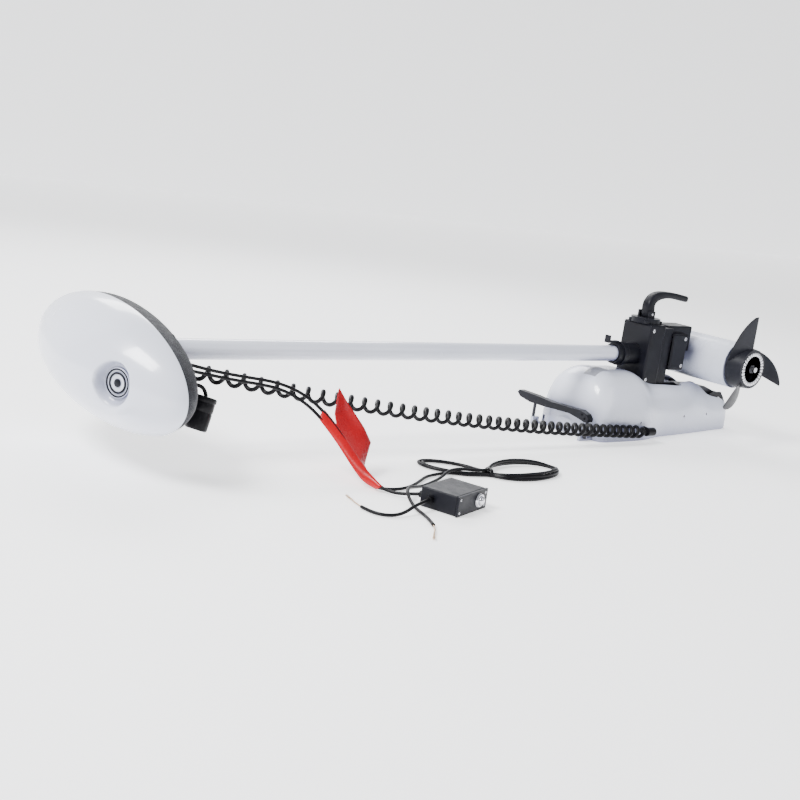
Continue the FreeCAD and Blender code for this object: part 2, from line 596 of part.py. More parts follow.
    arm = DOC.addObject("PartDesign::Body", "arm_body")
    x, z = size("hinge_x"), size("hinge_z")
    outline = [(-53, 74), (-53, bottom), (62, bottom), (74, 91), (165, 87), (x + 3, z + 13), (x + 12, z + 5),
               (x + 12, z - 6), (x, z - 13), (x - 20, z - 10), (60, 72)]
    pad(arm, "arm_pad", sketch_on(arm, "XZ_Plane", "arm_outline", outline), "2 * arm_half_width")
    DOC.recompute()
    hole_outline = circle_sketch(arm, "XZ_Plane", "arm_hole_outline", (x, z), "hinge_pin_radius")
    through_hole(arm, "arm_hole", hole_outline, 60.0)
    latch_hole = rod("arm_latch_hole", (-60, 0, size("latch_height")), X_AXIS, "latch_radius + 0.3", 24.0)
    ream = rod("arm_ream", (x, -30, z), Y_AXIS, "hinge_pin_radius + running_gap", 60.0)
    node(cut("arm_drilled", arm, latch_hole, ream), "tilt_arm")


def make_collar():
    height = size("axis_height")
    ring = rod("collar_ring", (-116, 0, height), X_AXIS, "shaft_radius + 4.5", 12.0)
    boss = block("collar_boss", (-116, -5, height + 12), 12.0, 10.0, 8.0)
    bore = rod("collar_bore", (-117, 0, height), X_AXIS, "shaft_radius + running_gap", 14.0)
    screw_hole = rod("collar_screw_hole", (-110, 0, height + 10), Z_AXIS, 2.55, 20.0)
    node(cut("collar_body", fuse("collar_blank", ring, boss), bore, screw_hole), "depth_collar")
    stem = rod("lever_stem", (-110, 0, height + 15.5), Z_AXIS, 2.5, 9.0)
    bar = block("lever_bar", (-134, -3.5, height + 20.3), 28.0, 7.0, 4.0)
    tab = block("lever_tab", (-138, -5.5, height + 20.3), 4.5, 11.0, 14.0)
    node(fuse("lever_body", stem, bar, tab), "collar_lever")


# ---------------------------------------------------------------- deck mount

# height of the cover's ridge at places along X
RIDGE = ((-216, 121), (-160, 123), (-110, 122), (-78, 119), (-50, 107), (-19, 104), (20, 103.5),
         (57, 103.5), (72, 105.5), (86, 108.5), (100, 109), (112, 106), (133, 98), (160, 84), (195, 80),
         (222, 74), (241, 68))
# half width of the cover at the deck
FOOTPRINT = ((-216, 79), (-150, 81), (-120, 82), (-71, 79), (-24, 66), (60, 58), (146, 48), (208, 40),
             (241, 37))
SECTIONS = (-215.4, -213, -209, -202, -190, -172, -145, -110, -78, -50, -19, 20, 57, 72, 86, 100, 112,
            133, 160, 195, 222, 235, 240.5)
# places along X of the screws in each side of the cover, with their half width and height
COVER_SCREWS = ((-96, 78.5, 34), (64, 55.5, 36), (150, 45, 36))


def along(table, x):
    """The value of a table of places at x."""
    for (x_one, one), (x_two, two) in zip(table, table[1:]):
        if x <= x_two:
            return one + (two - one) * (x - x_one) / (x_two - x_one)
    return table[-1][1]


def end_share(x, left_reach, right_reach):
    """How far the section has grown, near each rounded end."""
    from_left = min(1.0, (x - size("mount_left")) / left_reach)
    from_right = min(1.0, (size("mount_right") - x) / right_reach)
    share = 1.0
    for part in (from_left, from_right):
        share *= (1 - (1 - part) ** 2.4) ** (1 / 2.4)
    return share


def cover_section(x, inset, floor):
    """A D-shaped section: a superellipse arch over a flat base."""
    half = along(FOOTPRINT, x) * end_share(x, 32.0, 12.0) - inset
    ridge = along(RIDGE, x) * end_share(x, 52.0, 14.0) - inset
    steps = 14
    points = []
    for step in range(steps + 1):
        angle = math.pi * step / steps
        y = half * math.copysign(abs(math.cos(angle)) ** (2 / 2.9), math.cos(angle))
        points.append(V(x, y, ridge * math.sin(angle) ** (2 / 2.9)))
    points[0], points[-1] = V(x, half, 0), V(x, -half, 0)
    arch = Part.BSplineCurve()
    arch.interpolate(points)
    if not floor:
        return Part.Wire([arch.toShape(), Part.LineSegment(points[-1], points[0]).toShape()])
    base = [points[-1], V(x, -half, -floor), V(x, half, -floor), points[0]]
    sides = [Part.LineSegment(one, other).toShape() for one, other in zip(base, base[1:])]
    return Part.Wire([arch.toShape(), *sides])


def make_mount():
    skin, hinge_x, hinge_z = size("skin"), size("hinge_x"), size("hinge_z")
    outer = Part.makeLoft([cover_section(x, 0, 0) for x in SECTIONS], True, False)
    inner_places = [x for x in SECTIONS if -205 < x < 225] + [size("mount_right") - 6]
    inner = Part.makeLoft([cover_section(x, skin, 5) for x in inner_places], True, False)
    slot_half = size("slot_half_width")
    slot = block("cover_slot", (-62, -slot_half, 26), 287.0, "2 * slot_half_width", 120.0)
    case_pocket = block("cover_case_pocket", (-62, -size("case_half_width") - 1.2, 92), 126.0,
                        "2 * case_half_width + 2.4", 60.0)
    x, z = size("motor_x"), size("axis_height")
    cradle = rod("cover_cradle", (x, -90, z), Y_AXIS, "motor_radius + 4.4", 180.0)
    notches = [block("lug_notch_%d" % n, (-240, y - 4.5, -1), 60.0, 9.0, 18.0)
               for n, y in enumerate((-59.0, 62.0))]
    gland_hole = rod("cover_gland_hole", (-84, -90, 21.5), Y_AXIS, 6.0, 20.0)
    cover_holes, screws = [], []
    for n, (px, py, pz) in enumerate(COVER_SCREWS):
        for side in (-1, 1):
            inward = V(0, -side, 0)
            key = "%d_%d" % (n, side + 1)
            cover_holes.append(rod("cover_screw_hole_" + key, (px, side * (py + 6), pz), inward, 2.5, 16.0))
            screws.append(rod("cover_screw_" + key, (px, side * (py + 1), pz), inward, 2.5, 9.0))
    node(cut("cover_body", solid("cover_outer", outer), solid("cover_inner", inner), slot, case_pocket,
             cradle, *notches, gland_hole, *cover_holes), "base_cover")
    node(group("cover_screw_set", *screws), "cover_screws")

    plate = DOC.addObject("PartDesign::Body", "plate_body")
    half_outline = [(-201, 46), (-188, 66), (-160, 74), (-120, 76), (-71, 74), (-24, 61), (60, 53),
                    (146, 43), (208, 35)]
    outline = half_outline + [(226, 28), (226, -28)] + [(px, -py) for px, py in reversed(half_outline)]
    sketch = sketch_on(plate, "XY_Plane", "plate_outline", outline, size("plate_thickness") / 2)
    pad(plate, "plate_pad", sketch, "plate_thickness")
    lugs = []
    for n, y in enumerate((-59.0, 62.0)):
        lugs.append(block("plate_lug_%d" % n, (-238, y - 3, 0), 50.0, 6.0, "plate_thickness"))
        lugs.append(block("plate_ear_%d" % n, (-238, y - 3, 0), 16.0, 6.0, 14.0))
    bores = [rod("pedal_pivot_bore", (size("pedal_x"), -70, size("pivot_height")), Y_AXIS,
                 "leg_radius - 0.5 + running_gap", 140.0)]
    for side_x in (-1, 1):
        for side_y in (-1, 1):
            start = (side_x * size("deck_hole_x"), side_y * size("deck_hole_y"), -1)
            bores.append(rod("deck_hole_%d_%d" % (side_x + 1, side_y + 1), start, Z_AXIS,
                             "deck_hole_radius", 10.0))
    node(cut("plate_drilled", fuse("plate_blank", plate, *lugs), *bores), "base_plate")

    floor = size("plate_thickness")
    inner_half, wall = size("channel_half_width"), size("channel_wall")
    full = inner_half + wall
    web = block("channel_web", (-130, -full, floor), 354.0, 2 * full, 3.0)
    walls = []
    for side in (-1, 1):
        profile = [V(-60, 0, floor), V(224, 0, floor), V(224, 0, 64), V(212, 0, 76), V(190, 0, 76),
                   V(160, 0, 66), V(60, 0, 66), V(-60, 0, 90)]
        face = Part.Face(Part.makePolygon(profile + profile[:1]))
        face.translate(V(0, side * full - (wall if side > 0 else 0), 0))
        walls.append(solid("channel_wall_%d" % (side + 1), face.extrude(V(0, wall, 0))))
    bracket = block("latch_bracket", (-125, -14, floor), 14.0, 28.0, 96.0 - floor)
    latch_z = size("latch_height")
    bores = [rod("bracket_bore", (-130, 0, latch_z), X_AXIS, "latch_radius + running_gap", 30.0),
             rod("channel_pin_bore", (hinge_x, -40, hinge_z), Y_AXIS, "hinge_pin_radius", 80.0)]
    rest_bar = block("arm_rest_bar", (-20, -full, floor + 3), 14.0, 2 * full, 66.5 - floor)
    arm_relief = block("arm_relief", (-60, -inner_half, 73.0), 150.0, "2 * channel_half_width", 60.0)
    body = fuse("channel_blank", web, *walls, bracket, cut("arm_rest", rest_bar, arm_relief))
    node(cut("channel_body", body, *bores), "base_channel")
    node(rod("hinge_rod", (hinge_x, -28, hinge_z), Y_AXIS, "hinge_pin_radius", 56.0), "hinge_pin")

    pads = []
    for side in (-1, 1):
        start = 28.5 if side > 0 else -40.5
        pads.append(block("rest_pad_%d" % (side + 1), (113, start, 72), 50.0, 12.0, 40.0))
    clear = rod("rest_clear", (x, -60, z), Y_AXIS, "motor_radius + 5.2", 120.0)
    under = half_cover_inside(skin + 0.8)
    rests = DOC.addObject("Part::Common", "rests_inside")
    rests.Base, rests.Tool = fuse("rest_pads", *pads), under
    node(cut("rests_body", rests, clear), "motor_rests")

    gland = fuse("base_gland_body", rod("base_gland_mouth", (-98, -97.5, 21.5), X_AXIS, 8.0, 20.0),
                 rod("base_gland_stem", (-84, -97.5, 21.5), Y_AXIS, 6.0, 18.5))
    node(gland, "base_gland")

    bolt = fuse("latch_bolt_body", rod("bolt_rod", (-170, 0, latch_z), X_AXIS, "latch_radius", 130.0),
                rod("bolt_flange", (-74, 0, latch_z), X_AXIS, 9.0, 4.0),
                rod("bolt_stop", (-132, 0, latch_z), X_AXIS, 8.0, 5.0))
    node(bolt, "latch_bolt")
    spring = cut("spring_form", rod("spring_outer", (-110.5, 0, latch_z), X_AXIS, 8.5, 36.0),
                 rod("spring_bore", (-111, 0, latch_z), X_AXIS, 6.0, 40.0))
    node(spring, "latch_spring")


def half_cover_inside(inset):
    """The room under the cover's skin, which the motor rests fill."""
    places = [57, 82, 106, 133, 160, 195]
    return solid("cover_room", Part.makeLoft([cover_section(x, inset, 5) for x in places], True, False))


def make_pedal():
    x, half = size("pedal_x"), size("pedal_thickness") / 2
    body = DOC.addObject("PartDesign::Body", "pedal_body")
    outline = [(112, 50), (108, 55), (65, 54.5), (20, 52), (-25, 53.5), (-52, 55), (-66, 50.5),
               (-72, 43), (-71, 37), (-63, 35.5), (-50, 38.5), (-25, 42.5), (8, 41), (42, 39), (76, 38.5),
               (103, 43)]
    pad(body, "pedal_pad", sketch_on(body, "YZ_Plane", "pedal_outline", outline, x), "pedal_thickness")
    DOC.recompute()
    legs, bores = [], []
    pivot = size("pivot_height")
    for name, y, top in (("near", size("leg_near"), 44.0), ("far", size("leg_far"), 46.0)):
        upright = rod("leg_rod_" + name, (x, y, pivot - 3), Z_AXIS, "leg_radius", top - pivot)
        inward = V(0, math.copysign(1, -y), 0)
        pin = rod("leg_pin_" + name, (x, y, pivot), inward, "leg_radius - 0.5", 9.0)
        legs.append(fuse("leg_" + name, upright, pin))
        bores.append(rod("leg_bore_" + name, (x, y, pivot - 3), Z_AXIS, "leg_radius", top - pivot))
    rivets = [rod("pedal_rivet_bore_%d" % n, (x - half - 1, y, z), X_AXIS, 2.6, 3.0)
              for n, (y, z) in enumerate(((-57, 48.0), (-64, 42.0)))]
    node(cut("pedal_drilled", body, *bores, *rivets), "foot_pedal")
    node(group("leg_pair", *legs), "pedal_legs")


# ---------------------------------------------------------------- breaker and cords

def breaker_place():
    return FreeCAD.Placement(V(size("breaker_x"), size("breaker_y"), 0),
                             FreeCAD.Rotation(Z_AXIS, size("breaker_turn")))


def breaker_point(x, y, z):
    return tuple(breaker_place().multVec(V(x, y, z)))


def breaker_rod(name, start, direction, radius, length):
    way = breaker_place().Rotation.multVec(V(*direction))
    return rod(name, breaker_point(*start), way, radius, length)


REAR_GLAND = (-25.0, 12.0)     # breaker X and height of the gland in the rear wall
SIDE_GLAND = (12.0, 14.0)      # breaker Y and height of the gland in the left wall
BUTTON_AT = (16.0, 15.0)


def make_breaker():
    place = breaker_place()
    width, depth, height = size("breaker_width"), size("breaker_depth"), size("breaker_height")
    half_width, half_depth = width / 2, depth / 2
    blank = block("breaker_block", (-half_width, -half_depth + 3, 0), "breaker_width", "breaker_depth - 3",
                  "breaker_height", place)
    form = rounded("breaker_rounded", blank, 2.5)
    cavity = block("breaker_cavity", (-half_width + 2.5, -half_depth, 2.5), "breaker_width - 5",
                   "breaker_depth - 2.5", "breaker_height - 5", place)
    rear_start = (REAR_GLAND[0], half_depth - 4, REAR_GLAND[1])
    side_start = (-half_width + 4, SIDE_GLAND[0], SIDE_GLAND[1])
    holes = [breaker_rod("rear_gland_bore", rear_start, (0, 1, 0), 5.0, 12.0),
             breaker_rod("side_gland_bore", side_start, (-1, 0, 0), 5.0, 12.0)]
    node(cut("breaker_shell", form, cavity, *holes), "breaker_case")
    glands = [breaker_rod("rear_gland", rear_start, (0, 1, 0), 5.0, 12.0),
              breaker_rod("side_gland", side_start, (-1, 0, 0), 5.0, 12.0)]
    node(group("breaker_gland_set", *glands), "breaker_glands")
    plate = block("breaker_plate_blank", (-half_width, -half_depth, 0), "breaker_width", 3.0,
                  "breaker_height", place)
    button_hole = breaker_rod("button_hole", (BUTTON_AT[0], -half_depth - 1, BUTTON_AT[1]), (0, 1, 0),
                              "button_radius + 0.3", 6.0)
    corners = [(sx * (half_width - 5.5), sz) for sx in (-1, 1) for sz in (5.0, height - 5.0)]
    sinks = [breaker_rod("plate_screw_bore_%d" % n, (px, -half_depth - 1, pz), (0, 1, 0), 1.8, 6.0)
             for n, (px, pz) in enumerate(corners)]
    node(cut("breaker_plate_body", plate, button_hole, *sinks), "breaker_plate")
    screws = [breaker_rod("plate_screw_%d" % n, (px, -half_depth - 0.8, pz), (0, 1, 0), 1.8, 3.8)
              for n, (px, pz) in enumerate(corners)]
    node(group("breaker_screw_set", *screws), "breaker_screws")
    crown = (BUTTON_AT[0], -half_depth - 4.5, BUTTON_AT[1])
    stem = breaker_rod("button_stem", crown, (0, 1, 0), "button_radius", 12.0)
    dome = DOC.addObject("Part::Ellipsoid", "button_dome")
    bind(dome, Radius1=4.0, Radius2="button_radius", Radius3="button_radius", Angle1=0.0)
    toward = place.Rotation.multVec(V(0, -1, 0))
    dome.Placement = FreeCAD.Placement(V(*breaker_point(*crown)), facing(toward))
    node(fuse("button_body", stem, dome), "breaker_button")


COIL_ROUTE = [(GLAND_END + 3.5, COIL_GLAND[0], COIL_GLAND[1]), (-990, -37, 121), (-880, -45, 101),
              (-735, -56, 77), (-560, -70, 54), (-390, -84, 38), (-230, -94, 28), (-100, -97.5, 21.5)]
LEAD_ONE_ROUTE = [(GLAND_END + 1, -57, 141), (-1012, -58.5, 134), (-984, -60.5, 129), (-958, -63.5, 125),
                  (-932, -68, 122), (-906, -75, 118), (-883, -86, 110.5), (-864, -99, 99),
                  (-851, -116, 84.5), (-842, -137, 67.5), (-836.5, -160, 49.5), (-832.5, -184, 31.5),
                  (-829, -208, 15.5), (-824, -230, 7), (-815, -248, 4), (-805, -264, 6.5),
                  breaker_point(REAR_GLAND[0], size("breaker_depth") / 2 + 8, REAR_GLAND[1])]
LEAD_TWO_ROUTE = [(GLAND_END + 1, -57, 133), (-1012, -59.5, 127.5), (-985, -61.5, 122.5), (-959, -65, 118.5),
                  (-934, -70, 115.5), (-909, -77.5, 111.5), (-888, -89, 103.5), (-870, -102.5, 91.5),
                  (-857.5, -120, 76.5), (-849, -141, 59.5), (-843.5, -163, 42), (-839, -186, 24.5),
                  (-833, -207, 9.5), (-822, -223, 3.4), (-805, -232, 2.8), (-783, -232, 2.8),
                  (-759, -223, 2.8), (-733, -207, 2.8), (-704, -188, 3), (-669, -166, 5)]
TAIL_TWO_ROUTE = [(-655, -181, 5), (-690, -203, 3), (-729, -222, 3), (-759, -239, 6), (-782, -251, 11),
                  (-799, -260, 14.5), (-811, -272, 13.5), (-819, -289, 7), (-825, -309, 3),
                  (-830, -330, 2.8), (-837, -352, 3), (-848, -374, 3.5)]
TAIL_ONE_ROUTE = [breaker_point(-size("breaker_width") / 2 - 8, SIDE_GLAND[0], SIDE_GLAND[1]),
                  (-822, -318, 13.5), (-840, -323, 11), (-857, -327, 5.5), (-874, -327, 2.8),
                  (-889, -319, 2.6), (-896, -303, 2.6), (-896, -284, 2.6)]
PIGTAIL_ROUTE = [(GLAND_END, PIGTAIL_GLAND[0], PIGTAIL_GLAND[1]), (-1026, -43, 110), (-1014, -45.5, 109),
                 (-1007, -48, 103), (-1005, -49.5, 94)]
CONNECTOR_LEAN = V(-0.30, -0.10, -0.95)
TIP_ONE_ROUTE = [(-896, -284, 2.6), (-894, -268, 2.6), (-888, -250, 2.2), (-885, -236, 2.0)]
TIP_TWO_ROUTE = [(-848, -374, 3.5), (-856, -387, 3.2), (-868, -399, 2.6), (-879, -412, 2.0)]

# the hank: two flat rings of cord that cross at the tie
TIE = (-592.0, -204.0)
HANK_LOOPS = (((-634.0, -158.0), 56.0, 34.0, 132.0), ((-520.0, -204.0), 82.0, 47.0, 4.0))
HANK_BAND = 15.0


def make_cords():
    lead, tip = size("lead_radius"), size("tip_radius")
    node(tube("coil_tube", COIL_ROUTE, size("coil_radius")), "coil_cord")
    node(tube("lead_one_tube", LEAD_ONE_ROUTE, lead), "lead_one")
    node(tube("lead_two_tube", LEAD_TWO_ROUTE, lead), "lead_two")
    node(tube("lead_one_tail_tube", TAIL_ONE_ROUTE, lead), "lead_one_tail")
    node(tube("lead_two_tail_tube", TAIL_TWO_ROUTE, lead), "lead_two_tail")
    node(tube("pigtail_tube", PIGTAIL_ROUTE, size("pigtail_radius")), "pigtail_cord")
    tips = [tube("tip_one_tube", TIP_ONE_ROUTE, tip), tube("tip_two_tube", TIP_TWO_ROUTE, tip)]
    node(group("tip_pair", *tips), "bare_ends")
    node(rod("connector_body", PIGTAIL_ROUTE[-1], CONNECTOR_LEAN, "connector_radius", "connector_length"),
         "connector_cap")

    rings = []
    for n, ((x, y), long_radius, short_radius, turn) in enumerate(HANK_LOOPS):
        faces = []
        for inset in (0.0, HANK_BAND):
            oval = Part.Ellipse(V(0, 0, 0), long_radius - inset, short_radius - inset)
            faces.append(Part.Face(Part.Wire([oval.toShape()])))
        ring = faces[0].cut(faces[1]).extrude(V(0, 0, size("hank_height")))
        ring.rotate(V(0, 0, 0), Z_AXIS, turn)
        ring.translate(V(x, y, 0.3))
        rings.append(solid("hank_ring_%d" % n, ring))
    knot = rod("hank_knot", (TIE[0], TIE[1], 0.3), Z_AXIS, 12.0, "hank_height")
    node(fuse("hank_body", *rings, knot), "lead_hank")

    corners = [V(-840, -133, 68), V(-832, -213, 8), V(-808, -170, 22), V(-777, -138, 45),
               V(-784, -127, 62), V(-820, -101, 115)]
    normal = (corners[-1] - corners[0]).cross(corners[1] - corners[0]).normalize()
    flat = [point - normal * (point - corners[0]).dot(normal) for point in corners]
    flag = Part.Face(Part.makePolygon([*flat, flat[0]])).extrude(normal * 1.4)
    node(solid("tag_sheet", flag), "warning_tag")


def make_shaft():
    bar = rod("shaft_bar", (size("shaft_start"), 0, size("axis_height")), X_AXIS, "shaft_radius",
              "shaft_end - shaft_start")
    bore = rod("shaft_bore", (size("shaft_start") - 1, 0, size("axis_height")), X_AXIS,
               "shaft_radius - shaft_wall", "shaft_end - shaft_start + 2")
    node(cut("shaft_body", bar, bore), "shaft_tube")


def main():
    make_shaft()
    make_head()
    make_motor()
    make_propeller()
    make_steering()
    make_collar()
    make_mount()
    make_pedal()
    make_breaker()
    make_cords()
    DOC.recompute()
    failed = [obj.Name for obj in DOC.Objects if "Invalid" in obj.State or "Error" in obj.State]
    failed += [obj.Label for obj in NODES if obj.Shape.isNull() or not obj.Shape.isValid()]
    if failed:
        raise RuntimeError("these did not build: " + ", ".join(failed))
    os.makedirs("parts", exist_ok=True)
    for obj in NODES:
        obj.Shape.exportStep("parts/%s.step" % obj.Label)
        print("%-18s solids %d volume %.0f" % (obj.Label, len(obj.Shape.Solids), obj.Shape.Volume))
    print("nodes", len(NODES))


main()
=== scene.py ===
"""The looks of a stowed bow-mount trolling motor, built round its CAD frame.

Lengths are metres. A list that goes through metres(), or a number times MM, is in millimetres.
"""

import json
import math

import bpy
from mathutils import Matrix, Vector
from mathutils.bvhtree import BVHTree


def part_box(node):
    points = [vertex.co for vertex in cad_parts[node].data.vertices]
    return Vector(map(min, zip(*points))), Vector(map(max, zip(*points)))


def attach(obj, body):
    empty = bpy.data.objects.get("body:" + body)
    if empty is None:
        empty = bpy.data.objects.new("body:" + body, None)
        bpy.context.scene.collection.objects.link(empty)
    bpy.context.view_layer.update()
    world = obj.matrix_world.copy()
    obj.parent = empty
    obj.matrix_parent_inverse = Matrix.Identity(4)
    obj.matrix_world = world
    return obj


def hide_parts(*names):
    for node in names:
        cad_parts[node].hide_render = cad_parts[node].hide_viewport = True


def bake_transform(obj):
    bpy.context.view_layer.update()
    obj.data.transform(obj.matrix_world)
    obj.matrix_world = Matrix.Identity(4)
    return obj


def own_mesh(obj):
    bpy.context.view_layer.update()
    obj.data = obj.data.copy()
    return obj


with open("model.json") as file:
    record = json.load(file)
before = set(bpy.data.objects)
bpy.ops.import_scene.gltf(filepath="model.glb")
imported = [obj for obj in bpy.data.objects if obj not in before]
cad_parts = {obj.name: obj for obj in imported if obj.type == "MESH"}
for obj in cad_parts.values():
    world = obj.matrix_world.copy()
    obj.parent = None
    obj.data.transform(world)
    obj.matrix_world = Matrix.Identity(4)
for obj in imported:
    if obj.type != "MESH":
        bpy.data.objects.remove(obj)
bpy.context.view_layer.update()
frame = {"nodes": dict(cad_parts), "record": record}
NODES = frame["nodes"]
MM = 0.001
X_AXIS, Y_AXIS, Z_AXIS = Vector((1, 0, 0)), Vector((0, 1, 0)), Vector((0, 0, 1))


def metres(points):
    """Points in millimetres as vectors in metres."""
    return [Vector(point) * MM for point in points]


# ---------------------------------------------------------------- camera and light

CAMERA_AT = Vector((-1.7958, -1.4012, 0.442))
CAMERA_TURN = math.radians(-40.06)
CAMERA_RISE = math.radians(11.52)
CAMERA_ROLL = math.radians(8.08)
CAMERA_LENS, SENSOR_WIDTH = 51.75, 36  # millimetres


def make_camera():
    back = Vector((math.sin(CAMERA_TURN) * math.cos(CAMERA_RISE),
                   -math.cos(CAMERA_TURN) * math.cos(CAMERA_RISE), math.sin(CAMERA_RISE)))
    level = (-back).cross(Z_AXIS).normalized()
    up = level.cross(-back)
    right = math.cos(CAMERA_ROLL) * level + math.sin(CAMERA_ROLL) * up
    above = math.cos(CAMERA_ROLL) * up - math.sin(CAMERA_ROLL) * level
    camera = bpy.data.objects.new("camera", bpy.data.cameras.new("camera"))
    camera.data.lens = CAMERA_LENS
    camera.data.sensor_width = SENSOR_WIDTH
    camera.data.clip_end = 50
    camera.matrix_world = Matrix.Translation(CAMERA_AT) @ Matrix((right, above, back)).transposed().to_4x4()
    bpy.context.scene.collection.objects.link(camera)
    bpy.context.scene.camera = camera


def area_light(name, place, target, size, watts, colour=(1, 1, 1)):
    lamp = bpy.data.lights.new(name, "AREA")
    lamp.shape = "RECTANGLE"
    lamp.size, lamp.size_y = size
    lamp.energy = watts
    lamp.color = colour
    light = bpy.data.objects.new(name, lamp)
    light.location = place
    light.rotation_mode = "QUATERNION"
    light.rotation_quaternion = (Vector(target) - Vector(place)).to_track_quat("-Z", "Y")
    bpy.context.scene.collection.objects.link(light)


def make_lights():
    world = bpy.data.worlds.new("studio")
    world.use_nodes = True
    background = world.node_tree.nodes["Background"]
    background.inputs["Color"].default_value = (0.95, 0.97, 1.0, 1)
    background.inputs["Strength"].default_value = 0.5
    bpy.context.scene.world = world
    area_light("key", (-2.9, 0.1, 2.5), (-0.5, -0.1, 0.1), (1.3, 1.0), 190)
    area_light("fill", (0.9, -2.2, 1.3), (-0.2, 0, 0.1), (1.6, 1.6), 20, (0.93, 0.95, 1.0))
    area_light("rim", (0.2, 2.0, 1.9), (-0.5, 0, 0.15), (2.2, 0.8), 60)


# ---------------------------------------------------------------- mesh building

def mesh_object(name, points, faces, smooth=True):
    mesh = bpy.data.meshes.new(name)
    mesh.from_pydata([tuple(point) for point in points], [], faces)
    mesh.validate()
    mesh.update()
    for face in mesh.polygons:
        face.use_smooth = smooth
    made = bpy.data.objects.new(name, mesh)
    bpy.context.scene.collection.objects.link(made)
    return made


def rings_object(name, rings, closed=False):
    """A skin through rings of the same count: capped at both ends, or joined end to end."""
    count = len(rings[0])
    points = [point for ring in rings for point in ring]
    faces = []
    spans = len(rings) if closed else len(rings) - 1
    for span in range(spans):
        here, there = span * count, (span + 1) % len(rings) * count
        for n in range(count):
            after = (n + 1) % count
            faces.append((here + n, here + after, there + after, there + n))
    if not closed:
        faces.append(tuple(reversed(range(count))))
        faces.append(tuple(range(len(points) - count, len(points))))
    return mesh_object(name, points, faces)


def joined(name, parts):
    """Several meshes as one object."""
    points, faces = [], []
    for part in parts:
        start = len(points)
        points += [vertex.co.copy() for vertex in part.data.vertices]
        faces += [tuple(start + n for n in face.vertices) for face in part.data.polygons]
        data = part.data
        bpy.data.objects.remove(part)
        bpy.data.meshes.remove(data)
    return mesh_object(name, points, faces)


def frames_along(line):
    """A pair of cross directions at each point of a line, carried along without twist."""
    neighbours = zip(line[:1] + line[:-1], line[1:] + line[-1:])
    tangents = [(after - before).normalized() for before, after in neighbours]
    side = tangents[0].cross(Z_AXIS if abs(tangents[0].z) < 0.9 else X_AXIS).normalized()
    pairs = []
    for tangent in tangents:
        side = (side - tangent * side.dot(tangent)).normalized()
        pairs.append((side, tangent.cross(side)))
    return pairs


def ring_at(centre, side, other, radius, sides):
    return [centre + radius * (math.cos(turn) * side + math.sin(turn) * other)
            for turn in (2 * math.pi * n / sides for n in range(sides))]


def tube(name, line, radius, sides=16):
    """A round tube along a line; the radius may be a function of the share along it."""
    rings = []
    for n, (centre, (side, other)) in enumerate(zip(line, frames_along(line))):
        thick = radius(n / (len(line) - 1)) if callable(radius) else radius
        rings.append(ring_at(centre, side, other, thick, sides))
    return rings_object(name, rings)


def turned(name, start, axis, profile, sides=48):
    """A form turned about an axis from pairs of (distance along, radius)."""
    axis = Vector(axis).normalized()
    side = axis.cross(Z_AXIS if abs(axis.z) < 0.9 else X_AXIS).normalized()
    other = axis.cross(side)
    rings = [ring_at(Vector(start) + axis * along, side, other, max(radius, 0.00005), sides)
             for along, radius in profile]
    return rings_object(name, rings)


def route_line(route):
    """The points of the smooth spline whose control points are a route's points."""
    curve = bpy.data.curves.new("route", "CURVE")
    curve.dimensions = "3D"
    spline = curve.splines.new("NURBS")
    spline.points.add(len(route) - 1)
    for control, place in zip(spline.points, route):
        control.co = (*place, 1)
    spline.order_u = 3
    spline.use_endpoint_u = True
    spline.resolution_u = 12
    holder = bpy.data.objects.new("route", curve)
    mesh = bpy.data.meshes.new_from_object(holder)
    line = [vertex.co.copy() for vertex in mesh.vertices]
    bpy.data.objects.remove(holder)
    bpy.data.meshes.remove(mesh)
    bpy.data.curves.remove(curve)
    return line


def lengths_along(line):
    total = [0.0]
    for before, after in zip(line, line[1:]):
        total.append(total[-1] + (after - before).length)
    return total


def point_along(line, lengths, wanted):
    """The point of a line at a length along it."""
    low, high = 0, len(line) - 1
    while high - low > 1:
        half = (low + high) // 2
        if lengths[half] <= wanted:
            low = half
        else:
            high = half
    share = (wanted - lengths[low]) / max(lengths[high] - lengths[low], 1e-9)
    return line[low].lerp(line[high], min(max(share, 0.0), 1.0))


# ---------------------------------------------------------------- materials

def new_material(name):
    material = bpy.data.materials.new(name)
    material.use_nodes = True
    return material, material.node_tree, material.node_tree.nodes["Principled BSDF"]


def add(tree, kind, **settings):
    made = tree.nodes.new(kind)
    for name, value in settings.items():
        setattr(made, name, value)
    return made


def grain(tree, scale, detail=3.0, stretch=(1, 1, 1), roughness=0.55):
    """Noise in the object's own metres."""
    place = add(tree, "ShaderNodeTexCoord")
    mapping = add(tree, "ShaderNodeMapping")
    mapping.inputs["Scale"].default_value = stretch
    pattern = add(tree, "ShaderNodeTexNoise")
    pattern.inputs["Scale"].default_value = scale
    pattern.inputs["Detail"].default_value = detail
    pattern.inputs["Roughness"].default_value = roughness
    tree.links.new(place.outputs["Object"], mapping.inputs["Vector"])
    tree.links.new(mapping.outputs["Vector"], pattern.inputs["Vector"])
    return pattern.outputs["Fac"]


def between(tree, source, low, high, from_low=0.3, from_high=0.7):
    """A source mapped onto a range of values."""
    spread = add(tree, "ShaderNodeMapRange")
    for name, value in (("From Min", from_low), ("From Max", from_high), ("To Min", low), ("To Max", high)):
        spread.inputs[name].default_value = value
    tree.links.new(source, spread.inputs["Value"])
    return spread.outputs["Result"]


def blended(tree, share, one, two):
    """Two colours, or colour sockets, mixed by a share."""
    mix = add(tree, "ShaderNodeMix", data_type="RGBA")
    tree.links.new(share, mix.inputs["Factor"])
    for socket, colour in ((mix.inputs[6], one), (mix.inputs[7], two)):
        if isinstance(colour, tuple):
            socket.default_value = (*colour, 1)
        else:
            tree.links.new(colour, socket)
    return mix.outputs[2]


